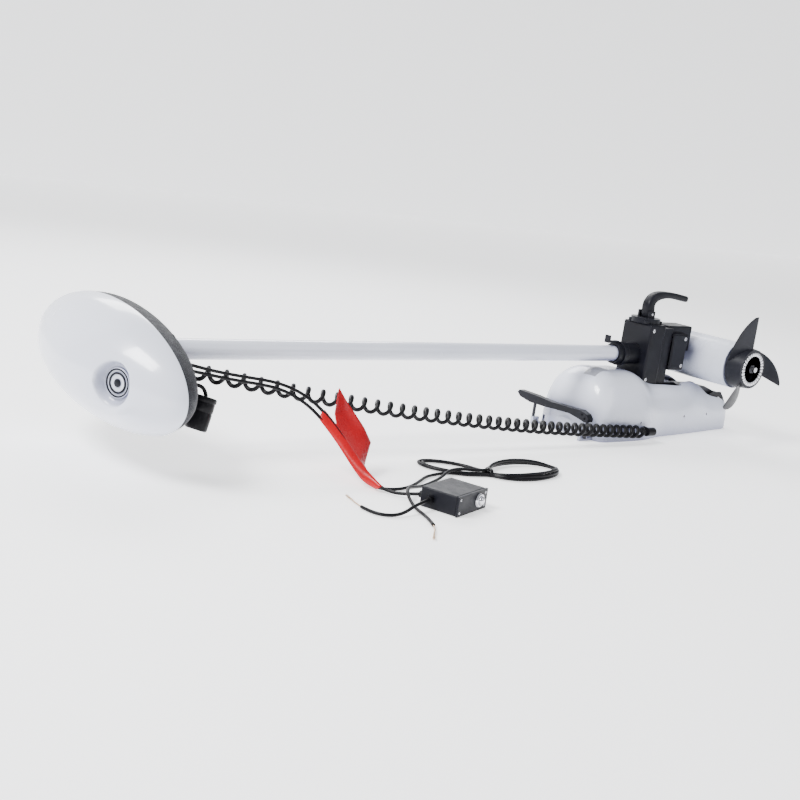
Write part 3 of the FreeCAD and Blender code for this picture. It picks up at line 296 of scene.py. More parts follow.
def edge_share(tree, radius, strength):
    """How much of an edge a place is, and the normal of an edge rounded to that radius."""
    bevel = add(tree, "ShaderNodeBevel", samples=4)
    bevel.inputs["Radius"].default_value = radius
    geometry = add(tree, "ShaderNodeNewGeometry")
    product = add(tree, "ShaderNodeVectorMath", operation="DOT_PRODUCT")
    tree.links.new(bevel.outputs["Normal"], product.inputs[0])
    tree.links.new(geometry.outputs["Normal"], product.inputs[1])
    return between(tree, product.outputs["Value"], strength, 0.0, 0.80, 0.985), bevel.outputs["Normal"]


def finish_of(name, colour, second, rough, blotch=9.0, fine=700.0, height=0.00006, metallic=0.0, coat=0.0,
              stretch=(1, 1, 1), edge=None, edge_radius=0.0009, speck=None, specular=0.5, painted_crevice_shade=None):
    """A material with its colour variation, roughness variation, grain and, at its edges, wear; where a shade
    colour is given, painted shade darkens its crevices and recesses.
    """
    material, tree, shader = new_material(name)
    shader.inputs["Metallic"].default_value = metallic
    shader.inputs["Coat Weight"].default_value = coat
    shader.inputs["Coat Roughness"].default_value = 0.08
    shader.inputs["Specular IOR Level"].default_value = specular
    surface = blended(tree, between(tree, grain(tree, blotch, 5.0, stretch), 0, 1), colour, second)
    if speck:
        speck_colour, speck_scale, amount = speck
        dots = grain(tree, speck_scale, 2.0)
        surface = blended(tree, between(tree, dots, 0, 1, amount, amount + 0.08), surface, speck_colour)
    # Painted shade: an ambient-occlusion mask blends the shade colour into crevices and recesses.
    if painted_crevice_shade:
        crevice_occlusion = add(tree, "ShaderNodeAmbientOcclusion", samples=8)
        crevice_occlusion.inputs["Distance"].default_value = 0.045
        surface = blended(tree, between(tree, crevice_occlusion.outputs["AO"], 0, 1, 0.35, 0.95), painted_crevice_shade, surface)
    bump = add(tree, "ShaderNodeBump")
    bump.inputs["Strength"].default_value = 0.8
    bump.inputs["Distance"].default_value = height
    tree.links.new(grain(tree, fine, 4.0, stretch), bump.inputs["Height"])
    if edge:
        share, normal = edge_share(tree, edge_radius, 0.55)
        surface = blended(tree, share, surface, edge)
        tree.links.new(normal, bump.inputs["Normal"])
    tree.links.new(surface, shader.inputs["Base Color"])
    tree.links.new(between(tree, grain(tree, blotch * 4, 6.0, stretch), *rough), shader.inputs["Roughness"])
    tree.links.new(bump.outputs["Normal"], shader.inputs["Normal"])
    return material


def make_materials():
    return {
        # The two whites carry a bluish-grey shade colour, painted into their crevices and recesses.
        "white_gloss": finish_of("white_gloss", (0.74, 0.765, 0.86), (0.69, 0.72, 0.83), (0.16, 0.28),
                                 blotch=5, fine=260, height=0.00003, coat=0.5, edge=(0.8, 0.82, 0.9),
                                 painted_crevice_shade=(0.2, 0.21, 0.33)),
        "white_paint": finish_of("white_paint", (0.71, 0.74, 0.84), (0.65, 0.69, 0.81), (0.2, 0.36), blotch=8,
                                 fine=420, height=0.00004, coat=0.25, edge=(0.78, 0.8, 0.86),
                                 painted_crevice_shade=(0.2, 0.21, 0.32)),
        "grey_cover": finish_of("grey_cover", (0.024, 0.025, 0.03), (0.012, 0.0125, 0.016), (0.55, 0.75),
                                blotch=30, fine=1400, height=0.0002, speck=((0.11, 0.11, 0.125), 1150, 0.57),
                                specular=0.2),
        "black_plastic": finish_of("black_plastic", (0.0042, 0.0044, 0.007), (0.008, 0.0084, 0.013),
                                   (0.3, 0.46), blotch=14, fine=1100, height=0.00009,
                                   edge=(0.04, 0.04, 0.06), specular=0.16),
        "prop_plastic": finish_of("prop_plastic", (0.01, 0.0104, 0.015), (0.017, 0.0176, 0.024), (0.28, 0.44),
                                  blotch=40, fine=800, height=0.00008, stretch=(1, 1, 0.35),
                                  edge=(0.07, 0.07, 0.09), specular=0.2),
        "black_rubber": finish_of("black_rubber", (0.0035, 0.0035, 0.0045), (0.0075, 0.0072, 0.009),
                                  (0.28, 0.46), blotch=60, fine=1500, height=0.00005, specular=0.14),
        "steel": finish_of("steel", (0.62, 0.62, 0.65), (0.5, 0.5, 0.53), (0.2, 0.36), blotch=90, fine=900,
                           height=0.00004, metallic=1.0, stretch=(0.2, 1, 1)),
        "bright_ring": finish_of("bright_ring", (0.82, 0.82, 0.85), (0.66, 0.66, 0.7), (0.18, 0.34),
                                 blotch=120, fine=1300, height=0.00005, metallic=1.0),
        "silver_button": finish_of("silver_button", (0.78, 0.78, 0.82), (0.66, 0.66, 0.7), (0.1, 0.2),
                                   blotch=150, fine=1200, height=0.00002, metallic=1.0),
        "aluminium": finish_of("aluminium", (0.03, 0.03, 0.037), (0.05, 0.05, 0.058), (0.36, 0.5), blotch=30,
                               fine=700, height=0.0001, metallic=0.85, edge=(0.12, 0.12, 0.13)),
        "copper": finish_of("copper", (0.72, 0.6, 0.47), (0.6, 0.42, 0.28), (0.25, 0.4), blotch=200,
                            fine=1500, height=0.00003, metallic=1.0),
        "board_green": finish_of("board_green", (0.015, 0.11, 0.045), (0.02, 0.16, 0.06), (0.3, 0.5),
                                 blotch=200, fine=500, height=0.0001, speck=((0.5, 0.42, 0.2), 260, 0.6)),
        "magnet": finish_of("magnet", (0.1, 0.1, 0.105), (0.14, 0.14, 0.15), (0.5, 0.7), metallic=0.4,
                            height=0.0002),
        "brass": finish_of("brass", (0.68, 0.52, 0.24), (0.56, 0.42, 0.2), (0.25, 0.4), blotch=60,
                           metallic=1.0),
        "red_tag": finish_of("red_tag", (0.46, 0.0012, 0.007), (0.36, 0.001, 0.006), (0.2, 0.34), blotch=26,
                             fine=300, height=0.00012, specular=0.25),
        "nylon": finish_of("nylon", (0.62, 0.6, 0.53), (0.52, 0.5, 0.45), (0.4, 0.55), blotch=40),
    }


# ---------------------------------------------------------------- cords

COIL_ROUTE = metres([(-1038.5, -34, 129), (-990, -37, 121), (-880, -45, 101), (-735, -56, 77),
                     (-560, -70, 54), (-390, -84, 38), (-230, -94, 28), (-100, -97.5, 21.5)])
LEAD_ONE_ROUTE = metres([(-1041, -57, 141), (-1012, -58.5, 134), (-984, -60.5, 129), (-958, -63.5, 125),
                         (-932, -68, 122), (-906, -75, 118), (-883, -86, 110.5), (-864, -99, 99),
                         (-851, -116, 84.5), (-842, -137, 67.5), (-836.5, -160, 49.5), (-832.5, -184, 31.5),
                         (-829, -208, 15.5), (-824, -230, 7), (-815, -248, 4), (-805, -264, 6.5),
                         (-795.8, -281.9, 12)])
LEAD_TWO_ROUTE = metres([(-1041, -57, 133), (-1012, -59.5, 127.5), (-985, -61.5, 122.5), (-959, -65, 118.5),
                         (-934, -70, 115.5), (-909, -77.5, 111.5), (-888, -89, 103.5), (-870, -102.5, 91.5),
                         (-857.5, -120, 76.5), (-849, -141, 59.5), (-843.5, -163, 42), (-839, -186, 24.5),
                         (-833, -207, 9.5), (-822, -223, 3.4), (-805, -232, 2.8), (-783, -232, 2.8),
                         (-759, -223, 2.8), (-733, -207, 2.8), (-704, -188, 3), (-669, -166, 5)])
TAIL_TWO_ROUTE = metres([(-655, -181, 5), (-690, -203, 3), (-729, -222, 3), (-759, -239, 6), (-782, -251, 11),
                         (-799, -260, 14.5), (-811, -272, 13.5), (-819, -289, 7), (-825, -309, 3),
                         (-830, -330, 2.8), (-837, -352, 3), (-848, -374, 3.5)])
TAIL_ONE_ROUTE = metres([(-808.4, -313.5, 14), (-822, -318, 13.5), (-840, -323, 11), (-857, -327, 5.5),
                         (-874, -327, 2.8), (-889, -319, 2.6), (-896, -303, 2.6), (-896, -284, 2.6)])
PIGTAIL_ROUTE = metres([(-1042, -42, 108), (-1026, -43, 110), (-1014, -45.5, 109), (-1007, -48, 103),
                        (-1005, -49.5, 94)])
TIP_ONE_ROUTE = metres([(-896, -284, 2.6), (-894, -268, 2.6), (-888, -250, 2.2), (-885, -236, 2.0)])
TIP_TWO_ROUTE = metres([(-848, -374, 3.5), (-856, -387, 3.2), (-868, -399, 2.6), (-879, -412, 2.0)])

CURL_CORD_RADIUS = 3.25 * MM
CURL_RADIUS = 12.5 * MM - CURL_CORD_RADIUS
CURL_TURNS, CURL_STEPS = 43, 20  # the steps are those of one turn
CURL_END = 24 * MM
LEAD_RADIUS = 2.4 * MM
PIGTAIL_RADIUS = 2.75 * MM


def curl_pitch(share):
    """The space between turns along the curl: stretched at the head, nearly closed at the base."""
    return 18 + 13 * (1 - share) ** 1.6


def make_curly_cord(skin):
    line = route_line(COIL_ROUTE)
    lengths = lengths_along(line)
    frames = frames_along(line)
    steps = CURL_TURNS * CURL_STEPS
    travel = [0.0]
    for step in range(steps):
        travel.append(travel[-1] + curl_pitch(step / steps))
    helix = []
    for step, moved in enumerate(travel):
        wanted = lengths[-1] * moved / travel[-1]
        centre = point_along(line, lengths, wanted)
        nearest = min(range(len(lengths)), key=lambda n: abs(lengths[n] - wanted))
        side, other = frames[nearest]
        end = min(1.0, wanted / CURL_END, (lengths[-1] - wanted) / CURL_END)
        radius = CURL_RADIUS * math.sin(math.pi / 2 * max(end, 0.0))
        turn = 0.6 - 2 * math.pi * step / CURL_STEPS
        helix.append(centre + radius * (math.cos(turn) * side + math.sin(turn) * other))
    cord = tube("curly_cord", helix, CURL_CORD_RADIUS, 12)
    cord.data.materials.append(skin)
    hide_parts("coil_cord")
    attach(cord, "unit")
    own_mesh(cord)


TIE = Vector((-0.592, -0.204, 0))
# middle, half length, half width and turn of each lobe of the hank
LOBES = ((Vector((-0.634, -0.158, 0)), 48.5 * MM, 26.5 * MM, math.radians(132)),
         (Vector((-0.520, -0.204, 0)), 74.5 * MM, 39.5 * MM, math.radians(4)))
LOBE_ANGLES = (-148, -118, -84, -44, 0, 44, 84, 118, 148)
STRAND = 5.0 * MM  # from one turn to the next
HANK_TURNS = 3


def lobe_point(lobe, angle, outward, height):
    middle, long_radius, short_radius, turn = LOBES[lobe]
    x = (long_radius + outward) * math.cos(math.radians(angle))
    y = (short_radius + outward) * math.sin(math.radians(angle))
    place = Matrix.Rotation(turn, 3, "Z") @ Vector((x, y, 0))
    return middle + place + Vector((0, 0, height))


def hank_route():
    """Three turns round both lobes, side by side, gathered in two layers at the tie."""
    low, high = 2.7 * MM, 8.2 * MM
    across = Vector((0.45, 0.89, 0))
    route = [lobe_point(0, angle, 5 * MM, low) for angle in (92, 122, 150)]
    for turn in range(HANK_TURNS):
        outward = (1 - turn) * STRAND
        spread = 1.5 * MM * (turn - 1)
        route.append(TIE - across * outward + Vector((0, 0, low)))
        for angle in LOBE_ANGLES:
            fan = (spread * math.cos(math.radians(angle))
                   + 0.8 * MM * math.sin(2.3 * turn + math.radians(angle)))
            lift = (4.2 * turn * abs(math.sin(math.radians(angle))) ** 0.8
                    + 1.2 * max(0.0, math.sin(math.radians(1.5 * angle) + turn))) * MM
            route.append(lobe_point(1, angle, 0.45 * outward + fan, low + lift))
        route.append(TIE - across * outward + Vector((0, 0, high)))
        if turn < HANK_TURNS - 1:
            for angle in LOBE_ANGLES:
                fan = 1.2 * MM * math.cos(math.radians(angle) + 1.7 * turn)
                route.append(lobe_point(0, angle, outward - STRAND / 2 + fan, low + 0.6 * MM))
    route += metres([(-617, -196.5, 8.5), (-641, -186, 9.5), (-664, -188, 8)])
    return route


def bare_end(name, route, skin):
    """Twisted strands of tinned wire that loosen towards their ends."""
    line = route_line(route)
    lengths = lengths_along(line)
    frames = frames_along(line)
    parts, strands = [], 7
    for strand in range(strands):
        lines = []
        for n, (centre, (side, other)) in enumerate(zip(line, frames)):
            share = lengths[n] / lengths[-1]
            turn = 2 * math.pi * (strand / strands + 2.2 * share)
            away = (0.75 + 0.9 * share ** 3 * (1 + 0.5 * math.sin(5 * strand))) * MM
            place = centre + away * (math.cos(turn) * side + math.sin(turn) * other)
            place.z = max(place.z, 0.45 * MM)
            lines.append(place)
        parts.append(tube(name + "_part_%d" % strand, lines, 0.38 * MM, 6))
    parts.append(tube(name + "_core", line, 0.5 * MM, 6))
    made = joined(name, parts)
    made.data.materials.append(skin)
    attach(made, "base")
    return made


def lead(name, line, replaced, skin):
    made = tube(name, line, LEAD_RADIUS, 16)
    made.data.materials.append(skin)
    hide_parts(*replaced)
    return made


def make_leads(skins):
    """The two battery leads: one through the breaker, the other wound into the hank."""
    rubber, wire = skins["black_rubber"], skins["copper"]
    line = route_line(LEAD_ONE_ROUTE)
    one = lead("lead_to_breaker", line, ["lead_one"], rubber)
    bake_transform(one)

    end_one = bare_end("bare_end_one", TIP_ONE_ROUTE, wire)
    end_two = bare_end("bare_end_two", TIP_TWO_ROUTE, wire)
    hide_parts("bare_ends")
    line = route_line(TAIL_ONE_ROUTE)
    tail = lead("lead_from_breaker", line, ["lead_one_tail"], rubber)
    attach(tail, "base")

    line = route_line(LEAD_TWO_ROUTE[:-1] + hank_route() + TAIL_TWO_ROUTE[1:])
    two = lead("lead_with_hank", line, ["lead_two", "lead_hank", "lead_two_tail"], rubber)
    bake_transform(two)
    tie = make_hank_tie(rubber)


def make_hank_tie(skin):
    """A flat band round the gathered turns."""
    along, across = Vector((0.89, -0.45, 0)), Vector((0.45, 0.89, 0))
    half_width, half_height, band = 8.6 * MM, 5.6 * MM, 2.4 * MM
    rings = []
    for step in range(40):
        turn = 2 * math.pi * step / 40
        wide = math.copysign(abs(math.cos(turn)) ** 0.6, math.cos(turn))
        tall = math.copysign(abs(math.sin(turn)) ** 0.6, math.sin(turn))
        place = TIE + across * half_width * wide + Z_AXIS * (6.0 * MM + half_height * tall)
        outward = (across * wide + Z_AXIS * tall).normalized()
        rings.append([place + along * u * band + outward * v * 0.5 * MM
                      for u, v in ((-1, -0.6), (-1, 0.6), (-0.6, 1), (0.6, 1), (1, 0.6), (1, -0.6))])
    tie = rings_object("hank_tie", rings, closed=True)
    tie.data.materials.append(skin)
    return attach(tie, "base")


def make_pigtail(skin):
    line = route_line(PIGTAIL_ROUTE)
    cord = tube("pigtail", line, PIGTAIL_RADIUS, 16)
    cord.data.materials.append(skin)
    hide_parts("pigtail_cord")
    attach(cord, "shaft")
    lean = Vector((-0.30, -0.10, -0.95)).normalized()
    top = PIGTAIL_ROUTE[-1]
    profile = [(0.2, 3.2), (0.0, 14.0), (0.5, 15.4), (1.6, 16.3), (6.4, 16.5), (7.2, 15.7), (8.4, 15.4),
               (9.4, 15.7), (20.0, 15.9), (21.0, 15.2), (22.2, 15.2), (23.2, 15.9), (45.0, 15.7),
               (46.8, 15.0), (47.7, 13.6), (48.0, 11.6), (47.2, 10.6), (44.0, 10.2), (44.0, 0.0)]
    cap = turned("connector", top, lean, [(a * MM, r * MM) for a, r in profile], 56)
    cap.data.materials.append(skin)
    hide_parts("connector_cap")
    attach(cap, "shaft")


# ---------------------------------------------------------------- control head

HEAD_MIDDLE = Vector((-1.111, 0.014, 0.130))
HEAD_LONG, HEAD_SHORT, DOME_DEPTH = 0.182, 0.082, 0.080
HEAD_TURN, HEAD_LEAN, DOME_EXPONENT, SEAM_HALF = math.radians(7), -0.08, 1.7, 0.00075
POCKET_ALONG, POCKET_ACROSS = -0.545, 0.05
POCKET_DEPTH, POCKET_FLOOR, POCKET_RIM = 16 * MM, 23 * MM, 31 * MM
BADGE_RADIUS = 20.5 * MM


def dome_point(along, across):
    """A point of the dome from its shares of the head's two radii."""
    share = min(1.0, math.hypot(along, across))
    depth = (1 - share ** DOME_EXPONENT) ** (1 / DOME_EXPONENT)
    cos, sin = math.cos(HEAD_TURN), math.sin(HEAD_TURN)
    return HEAD_MIDDLE + Vector((HEAD_LEAN * HEAD_LONG * along - SEAM_HALF - DOME_DEPTH * depth,
                                 HEAD_LONG * cos * along - HEAD_SHORT * sin * across,
                                 HEAD_LONG * sin * along + HEAD_SHORT * cos * across))


POCKET_AT = dome_point(POCKET_ALONG, POCKET_ACROSS)
POCKET_FACING = Vector((-0.9185, -0.395, 0.0164)).normalized()
SWELL_TOWARDS = Vector((0, -0.45, -0.9))
SWELL_WAY = (SWELL_TOWARDS - POCKET_FACING * SWELL_TOWARDS.dot(POCKET_FACING)).normalized()


def smooth(share):
    share = min(max(share, 0.0), 1.0)
    return share * share * (3 - 2 * share)


def sculpted(place):
    """A dome point moved into the badge's pocket, or out along the swell under it."""
    away = place - POCKET_AT
    deep = away.dot(POCKET_FACING)
    flat = away - POCKET_FACING * deep
    distance = flat.length
    floor_level = -POCKET_DEPTH
    share = smooth((POCKET_RIM - distance) / (POCKET_RIM - POCKET_FLOOR))
    moved = place + POCKET_FACING * (floor_level - deep) * share
    below = flat.dot(SWELL_WAY)
    beside = (flat - SWELL_WAY * below).length
    swell = math.exp(-((below - 38 * MM) / (10 * MM)) ** 2 - (beside / (26 * MM)) ** 2)
    return moved + POCKET_FACING * 6 * MM * swell * (1 - share)


def make_dome(skin):
    """A shell whose rings spread from the badge, close together in its pocket and at the rim."""
    sides, steps = 192, 120
    rings = []
    for step in range(1, steps + 1):
        share = step / steps
        ring = []
        for n in range(sides):
            turn = 2 * math.pi * n / sides
            way = (math.cos(turn), math.sin(turn))
            dot = POCKET_ALONG * way[0] + POCKET_ACROSS * way[1]
            reach = -dot + math.sqrt(dot * dot + 1 - POCKET_ALONG ** 2 - POCKET_ACROSS ** 2)
            near = reach * (0.35 * share ** 1.3 + 0.65 * share ** 2.2)
            far = reach * math.sin(math.pi / 2 * share)
            out = near + (far - near) * smooth((share - 0.25) / 0.75)
            out = min(out, reach)
            ring.append(sculpted(dome_point(POCKET_ALONG + out * way[0], POCKET_ACROSS + out * way[1])))
        rings.append(ring)
    middle = sculpted(POCKET_AT)
    points = [middle] + [point for ring in rings for point in ring]
    faces = [(0, 1 + n, 1 + (n + 1) % sides) for n in range(sides)]
    for step in range(steps - 1):
        here, there = 1 + step * sides, 1 + (step + 1) * sides
        faces += [(here + n, there + n, there + (n + 1) % sides, here + (n + 1) % sides)
                  for n in range(sides)]
    dome = mesh_object("head_dome_skin", points, faces)
    shell = dome.modifiers.new("wall", "SOLIDIFY")
    shell.thickness = 2.6 * MM
    shell.offset = -1 if dome.data.polygons[0].normal.dot(POCKET_FACING) > 0 else 1
    dome.data.materials.append(skin)
    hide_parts("head_dome")
    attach(dome, "shaft")


def make_badge(plate_skin, ring_skin):
    """A plain round badge with two raised rings and a dot."""
    floor_at = POCKET_AT - POCKET_FACING * POCKET_DEPTH
    profile = [(0.0, BADGE_RADIUS), (1.6 * MM, BADGE_RADIUS), (2.2 * MM, BADGE_RADIUS - 0.5 * MM),
               (2.4 * MM, BADGE_RADIUS - 1.2 * MM), (2.4 * MM, BADGE_RADIUS - 2.6 * MM),
               (1.7 * MM, BADGE_RADIUS - 3.2 * MM), (1.7 * MM, 0.0)]
    plate = turned("badge_plate", floor_at, POCKET_FACING, profile, 72)
    plate.data.materials.append(plate_skin)
    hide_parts("head_badge")
    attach(plate, "shaft")
    side = POCKET_FACING.cross(Z_AXIS).normalized()
    other = POCKET_FACING.cross(side)
    parts, sides = [], 72
    for inner, outer in ((16.6, 18.9), (11.3, 13.9)):
        ring = [(1.6, inner), (2.9, inner + 0.2), (3.1, inner + 0.6), (3.1, outer - 0.6), (2.9, outer - 0.2),
                (1.6, outer)]
        turns = []
        for n in range(sides):
            turn = 2 * math.pi * n / sides
            way = math.cos(turn) * side + math.sin(turn) * other
            turns.append([floor_at + POCKET_FACING * height * MM + way * radius * MM
                          for height, radius in ring])
        parts.append(rings_object("badge_ring", turns, closed=True))
    parts.append(turned("badge_dot", floor_at, POCKET_FACING,
                        [(1.6 * MM, 5.4 * MM), (2.8 * MM, 5.3 * MM), (3.1 * MM, 4.8 * MM), (3.2 * MM, 0.0)],
                        40))
    mark = joined("badge_mark", parts)
    mark.data.materials.append(ring_skin)
    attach(mark, "shaft")


# ---------------------------------------------------------------- tag, handle, hub ring and small parts

def finished(made, skins, slot, body, *replaced):
    made.data.materials.append(skins[slot])
    if replaced:
        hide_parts(*replaced)
    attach(made, body)
    return made


def world_points(node):
    piece = NODES[node]
    return [piece.matrix_world @ vertex.co for vertex in piece.data.vertices]


def islands(node):
    """The separate pieces of a node, each a list of its points."""
    points = world_points(node)
    leader = list(range(len(points)))

    def first(n):
        while leader[n] != n:
            leader[n] = leader[leader[n]]
            n = leader[n]
        return n

    places = {}
    for n, point in enumerate(points):
        key = tuple(round(value, 6) for value in point)
        leader[first(n)] = first(places.setdefault(key, n))
    for edge in NODES[node].data.edges:
        one, two = edge.vertices
        leader[first(one)] = first(two)
    groups = {}
    for n, point in enumerate(points):
        groups.setdefault(first(n), []).append(point)
    return list(groups.values())


def screw(name, crown, outward, radius, height):
    """A domed head with a cross recess; the crown is the middle of its outer face."""
    outward = outward.normalized()
    side = outward.cross(Z_AXIS if abs(outward.z) < 0.9 else X_AXIS).normalized()
    other = outward.cross(side)
    sides, steps = 64, 18
    rings = [ring_at(crown - outward * height, side, other, radius, sides),
             ring_at(crown - outward * 0.35 * height, side, other, radius, sides)]
    for step in range(steps):
        share = 0.985 * (1 - step / steps)
        ring = []
        for n in range(sides):
            turn = 2 * math.pi * n / sides
            along, across = share * math.cos(turn), share * math.sin(turn)
            level = 0.35 * height * (1 - share * share)
            narrow, wide = sorted((abs(along), abs(across)))
            if narrow < 0.14 and wide < 0.62:
                level -= 0.55 * height
            ring.append(crown + outward * (level - 0.3 * height) + radius * (along * side + across * other))
        rings.append(ring)
    return rings_object(name, rings)


def screws_for(node, skins, body, outward_of):
    """Domed screws in place of a node's plain pegs."""
    parts = []
    for n, points in enumerate(islands(node)):
        middle = sum(points, Vector()) / len(points)
        outward = outward_of(middle)
        tops = [point.dot(outward) for point in points]
        crown = middle + outward * (max(tops) - middle.dot(outward))
        radius = max((point - middle - outward * (point - middle).dot(outward)).length for point in points)
        parts.append(screw("%s_%d" % (node, n), crown, outward, radius * 1.25, max(tops) - min(tops)))
    return finished(joined(node + "_heads", parts), skins, "steel", body, node)


def side_of(middle):
    return Vector((0, math.copysign(1, middle.y), 0))


BREAKER_TURN = math.radians(18.5)
BREAKER_FRONT = Vector((math.sin(BREAKER_TURN), -math.cos(BREAKER_TURN), 0))
BREAKER_MIDDLE = Vector((-0.760, -0.310, 0.015))
BUTTON_PLACE = Vector((0.016, -0.030, 0))  # from the middle, before the turn


def make_screws(skins):
    screws_for("cover_screws", skins, "base", side_of)
    screws_for("case_screws", skins, "unit", side_of)


def make_tag(skins):
    """A creased vinyl sheet whose edge is rolled round both leads."""
    inner = metres([(-826, -110, 113), (-836.6, -122, 83.5), (-843, -142, 64.6), (-840, -165, 45),
                    (-837, -188, 27), (-832, -214, 6)])
    outer = metres([(-821, -104.5, 117), (-804.9, -112, 93.1), (-787.2, -130, 62.7), (-780, -142, 44.2),
                    (-810.2, -172, 21.1), (-824.5, -214, 5)])
    out = (outer[2] - inner[2]).cross(inner[4] - inner[2]).normalized()
    rows, columns, steps = [], 14, 8
    for pair in range(len(inner) - 1):
        for step in range(steps if pair < len(inner) - 2 else steps + 1):
            share = step / steps
            left = inner[pair].lerp(inner[pair + 1], share)
            right = outer[pair].lerp(outer[pair + 1], share)
            row = []
            for n in range(columns + 1):
                across = n / columns
                bow = 2.4 * math.sin(math.pi * across) * math.sin(0.8 * (pair + share) + 0.4)
                ripple = 0.8 * math.sin(7 * across + 2.1 * (pair + share))
                row.append(left.lerp(right, across) + out * (bow + ripple * across) * MM)
            rows.append(row)
    points = [point for row in rows for point in row]
    width = columns + 1
    faces = [(r * width + n, r * width + n + 1, (r + 1) * width + n + 1, (r + 1) * width + n)
             for r in range(len(rows) - 1) for n in range(columns)]
    sheet = mesh_object("tag_sheet", points, faces)
    thickness = sheet.modifiers.new("thickness", "SOLIDIFY")
    thickness.thickness = 1.1 * MM
    thickness.offset = 0
    finished(sheet, skins, "red_tag", "base", "warning_tag")
    ones, twos = route_line(LEAD_ONE_ROUTE[8:14]), route_line(LEAD_TWO_ROUTE[8:14])
    rings, sides, half_height = [], 28, LEAD_RADIUS + 1.9 * MM
    for one, two in zip(ones, twos):
        middle, apart = (one + two) / 2, (one - two) / 2
        reach = apart.length + LEAD_RADIUS + 1.6 * MM
        along = apart.normalized()
        over = Vector((0.9, 0.3, 0.3))
        over = (over - along * over.dot(along)).normalized()
        rings.append([middle + reach * math.cos(turn) * along + half_height * math.sin(turn) * over
                      for turn in (2 * math.pi * n / sides for n in range(sides))])
    return [sheet, finished(rings_object("tag_sleeve", rings), skins, "red_tag", "base")]


def make_handle(skins):
    """A hook of even thickness with a rounded end, standing on its pin between the cap's posts."""
    route = metres([(-32, 0, 222.8), (-34, 0, 233), (-36, 0, 246), (-29, 0, 257), (-15, 0, 263.5),
                    (6, 0, 266), (30, 0, 265), (52, 0, 262.5), (74, 0, 259.5)])
    line = route_line(route)
    lengths = lengths_along(line)
    rings, sides = [], 36
    for n, (centre, before, after) in enumerate(zip(line, line[:1] + line[:-1], line[1:] + line[-1:])):
        tangent = (after - before).normalized()
        rise = tangent.cross(Y_AXIS)
        share = lengths[n] / lengths[-1]
        left = lengths[-1] - lengths[n]
        cap = math.sqrt(max(0.02, 1 - max(0.0, 1 - left / (6 * MM)) ** 2))
        thick = (11.0 - 4.8 * smooth(share * 1.6)) * MM * cap
        wide = (10.0 - 1.0 * share) * MM * (0.5 + 0.5 * cap)
        ring = []
        for step in range(sides):
            turn = 2 * math.pi * step / sides
            u = math.copysign(abs(math.cos(turn)) ** 0.5, math.cos(turn))
            v = math.copysign(abs(math.sin(turn)) ** 0.5, math.sin(turn))
            ring.append(centre + Y_AXIS * wide * u + rise * thick * v)
        rings.append(ring)
    finished(rings_object("handle_hook", rings), skins, "black_plastic", "handle", "pull_handle")


def make_hub_ring(skins):
    """A bright ring cut into segments, and the grooves and hub round it."""
    low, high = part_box("hub_ring")
    middle = (low + high) / 2
    outer, front = (high.x - low.x) / 2, low.y
    inner = outer * 0.78
    segments = 30
    parts = []
    for n in range(segments):
        rings = []
        for step in range(5):
            turn = 2 * math.pi * (n + 0.12 + 0.76 * step / 4) / segments
            way = Vector((math.cos(turn), 0, math.sin(turn)))
            start = Vector((middle.x, 0, middle.z))
            rings.append([start + way * radius + Y_AXIS * y for radius, y in
                          ((inner, high.y), (outer, high.y), (outer, front + 0.5 * MM),
                           (outer - 0.7 * MM, front), (inner + 0.7 * MM, front), (inner, front + 0.5 * MM))])
        parts.append(rings_object("segment", rings))
    finished(joined("hub_segments", parts), skins, "bright_ring", "prop", "hub_ring")
    back = turned("hub_ring_seat", (middle.x, high.y, middle.z), (0, -1, 0),
                  [(0, inner), (0, outer), (high.y - front - 0.9 * MM, outer - 0.1 * MM),
                   (high.y - front - 0.9 * MM, inner + 0.1 * MM), (0, inner)], 64)
    finished(back, skins, "black_plastic", "prop")


def make_spring(skins):
    """The latch bolt's spring, built as a coil of fixed length."""
    low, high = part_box("latch_spring")
    start = Vector((low.x, (low.y + high.y) / 2, (low.z + high.z) / 2))
    long, wire = high.x - low.x, 1.1 * MM
    coils, steps = 9, 20  # the steps are those of one coil
    around = (high.z - low.z) / 2 - wire
    line = []
    for step in range(coils * steps + 1):
        turn = 2 * math.pi * step / steps
        along = wire + (long - 2 * wire) * step / (coils * steps)
        line.append(start + X_AXIS * along + around * (math.cos(turn) * Y_AXIS + math.sin(turn) * Z_AXIS))
    spring = finished(tube("latch_coil", line, wire, 10), skins, "steel", "base", "latch_spring")
    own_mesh(spring)


def make_button_ring(skins):
    """A bright collar round the breaker's button."""
    place = BREAKER_MIDDLE + Matrix.Rotation(BREAKER_TURN, 3, "Z") @ BUTTON_PLACE
    collar = turned("button_collar", place - BREAKER_FRONT * 0.2 * MM, BREAKER_FRONT,
                    [(a * MM, r * MM) for a, r in ((0, 6.5), (0, 10.0), (1.4, 10.0), (2.2, 9.4), (3.4, 9.2),
                                                   (3.9, 8.6), (3.9, 6.9), (3.4, 6.5), (0, 6.5))], 48)
    return finished(collar, skins, "silver_button", "base")


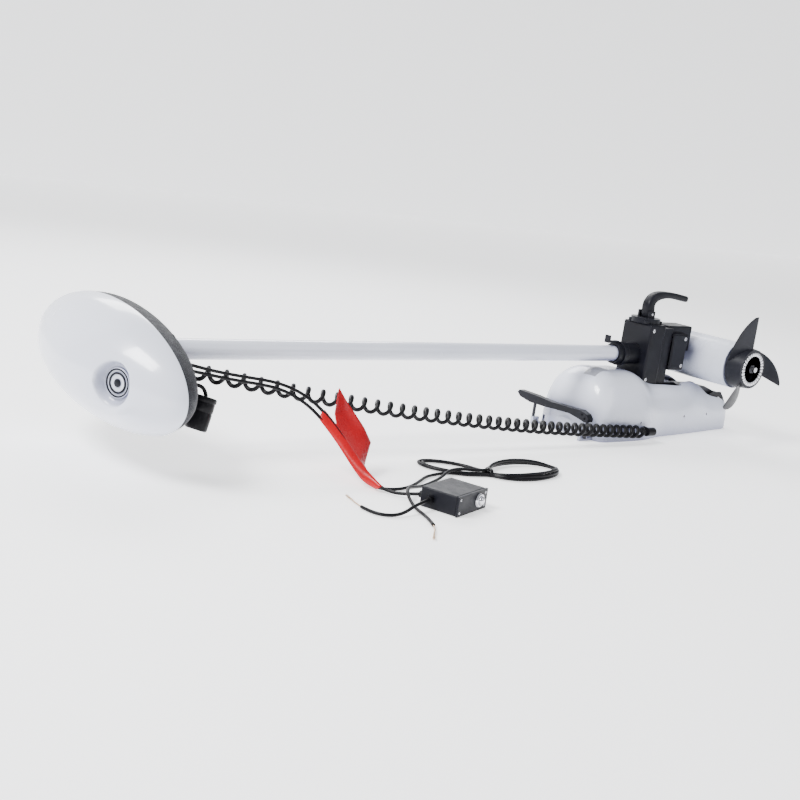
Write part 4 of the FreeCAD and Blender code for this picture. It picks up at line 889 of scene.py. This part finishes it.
def make_label():
    """A blank plate that follows the mount's hood."""
    cover = NODES["base_cover"]
    cover_faces = [tuple(face.vertices) for face in cover.data.polygons]
    tree = BVHTree.FromPolygons(world_points("base_cover"), cover_faces)
    middle, along, across = Vector((-0.168, -0.014, 0.2)), Vector((1, 0.1, 0)), Vector((-0.1, 1, 0))
    half_length, half_width = 21 * MM, 13 * MM
    points, columns, rows = [], 16, 12
    for row in range(rows + 1):
        for column in range(columns + 1):
            u, v = 2 * column / columns - 1, 2 * row / rows - 1
            place = middle + along * half_length * u + across * half_width * v
            hit = tree.ray_cast(place, -Z_AXIS)[0]
            points.append(hit + Z_AXIS * (0.9 * MM if max(abs(u), abs(v)) < 0.99 else 0.2 * MM))
    width = columns + 1
    faces = [(r * width + c, r * width + c + 1, (r + 1) * width + c + 1, (r + 1) * width + c)
             for r in range(rows) for c in range(columns)]
    label = mesh_object("hood_label", points, faces)
    label.data.materials.append(finish_of("label_grey", (0.2, 0.205, 0.24), (0.27, 0.275, 0.31), (0.35, 0.5)))
    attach(label, "base")


# ---------------------------------------------------------------- the scene

def make_floor():
    """A bright floor and a bright wall far behind."""
    left, right, near, far, level = -7.0, 18.0, -6.0, 6.5, -0.0004
    low = [Vector((x, y, level)) for x, y in ((left, near), (right, near), (right, far), (left, far))]
    wall = [Vector((x, far, z)) for x, z in ((left, level), (right, level), (right, 9.0), (left, 9.0))]
    white = finish_of("floor", (0.92, 0.925, 0.94), (0.9, 0.905, 0.92), (0.6, 0.7), blotch=2, fine=60,
                      height=0.0001)
    glow = white.node_tree.nodes["Principled BSDF"]
    glow.inputs["Emission Color"].default_value = (1, 1, 1, 1)
    glow.inputs["Emission Strength"].default_value = 1.0
    floor = mesh_object("floor", low, [(0, 1, 2, 3)], False)
    backdrop = mesh_object("wall", wall, [(0, 1, 2, 3)], False)
    for piece in (floor, backdrop):
        piece.data.materials.append(white)


def paint_nodes(skins):
    """Each CAD node gets the finish of its own material slot."""
    slots = {part["node"]: part["material_slot"] for part in frame["record"]["subparts"]}
    for name, node in NODES.items():
        node.data.materials.clear()
        node.data.materials.append(skins[slots[name]])


def main():
    make_camera()
    skins = make_materials()
    make_curly_cord(skins["black_rubber"])
    make_pigtail(skins["black_rubber"])
    breaker_pieces = [screws_for("breaker_screws", skins, "base", lambda middle: BREAKER_FRONT),
                      make_button_ring(skins), *make_tag(skins)]
    make_leads(skins)
    paint_nodes(skins)
    make_dome(skins["white_gloss"])
    make_badge(skins["white_gloss"], skins["black_plastic"])
    make_handle(skins)
    make_hub_ring(skins)
    make_spring(skins)
    make_screws(skins)
    make_label()
    make_floor()
    make_lights()


main()
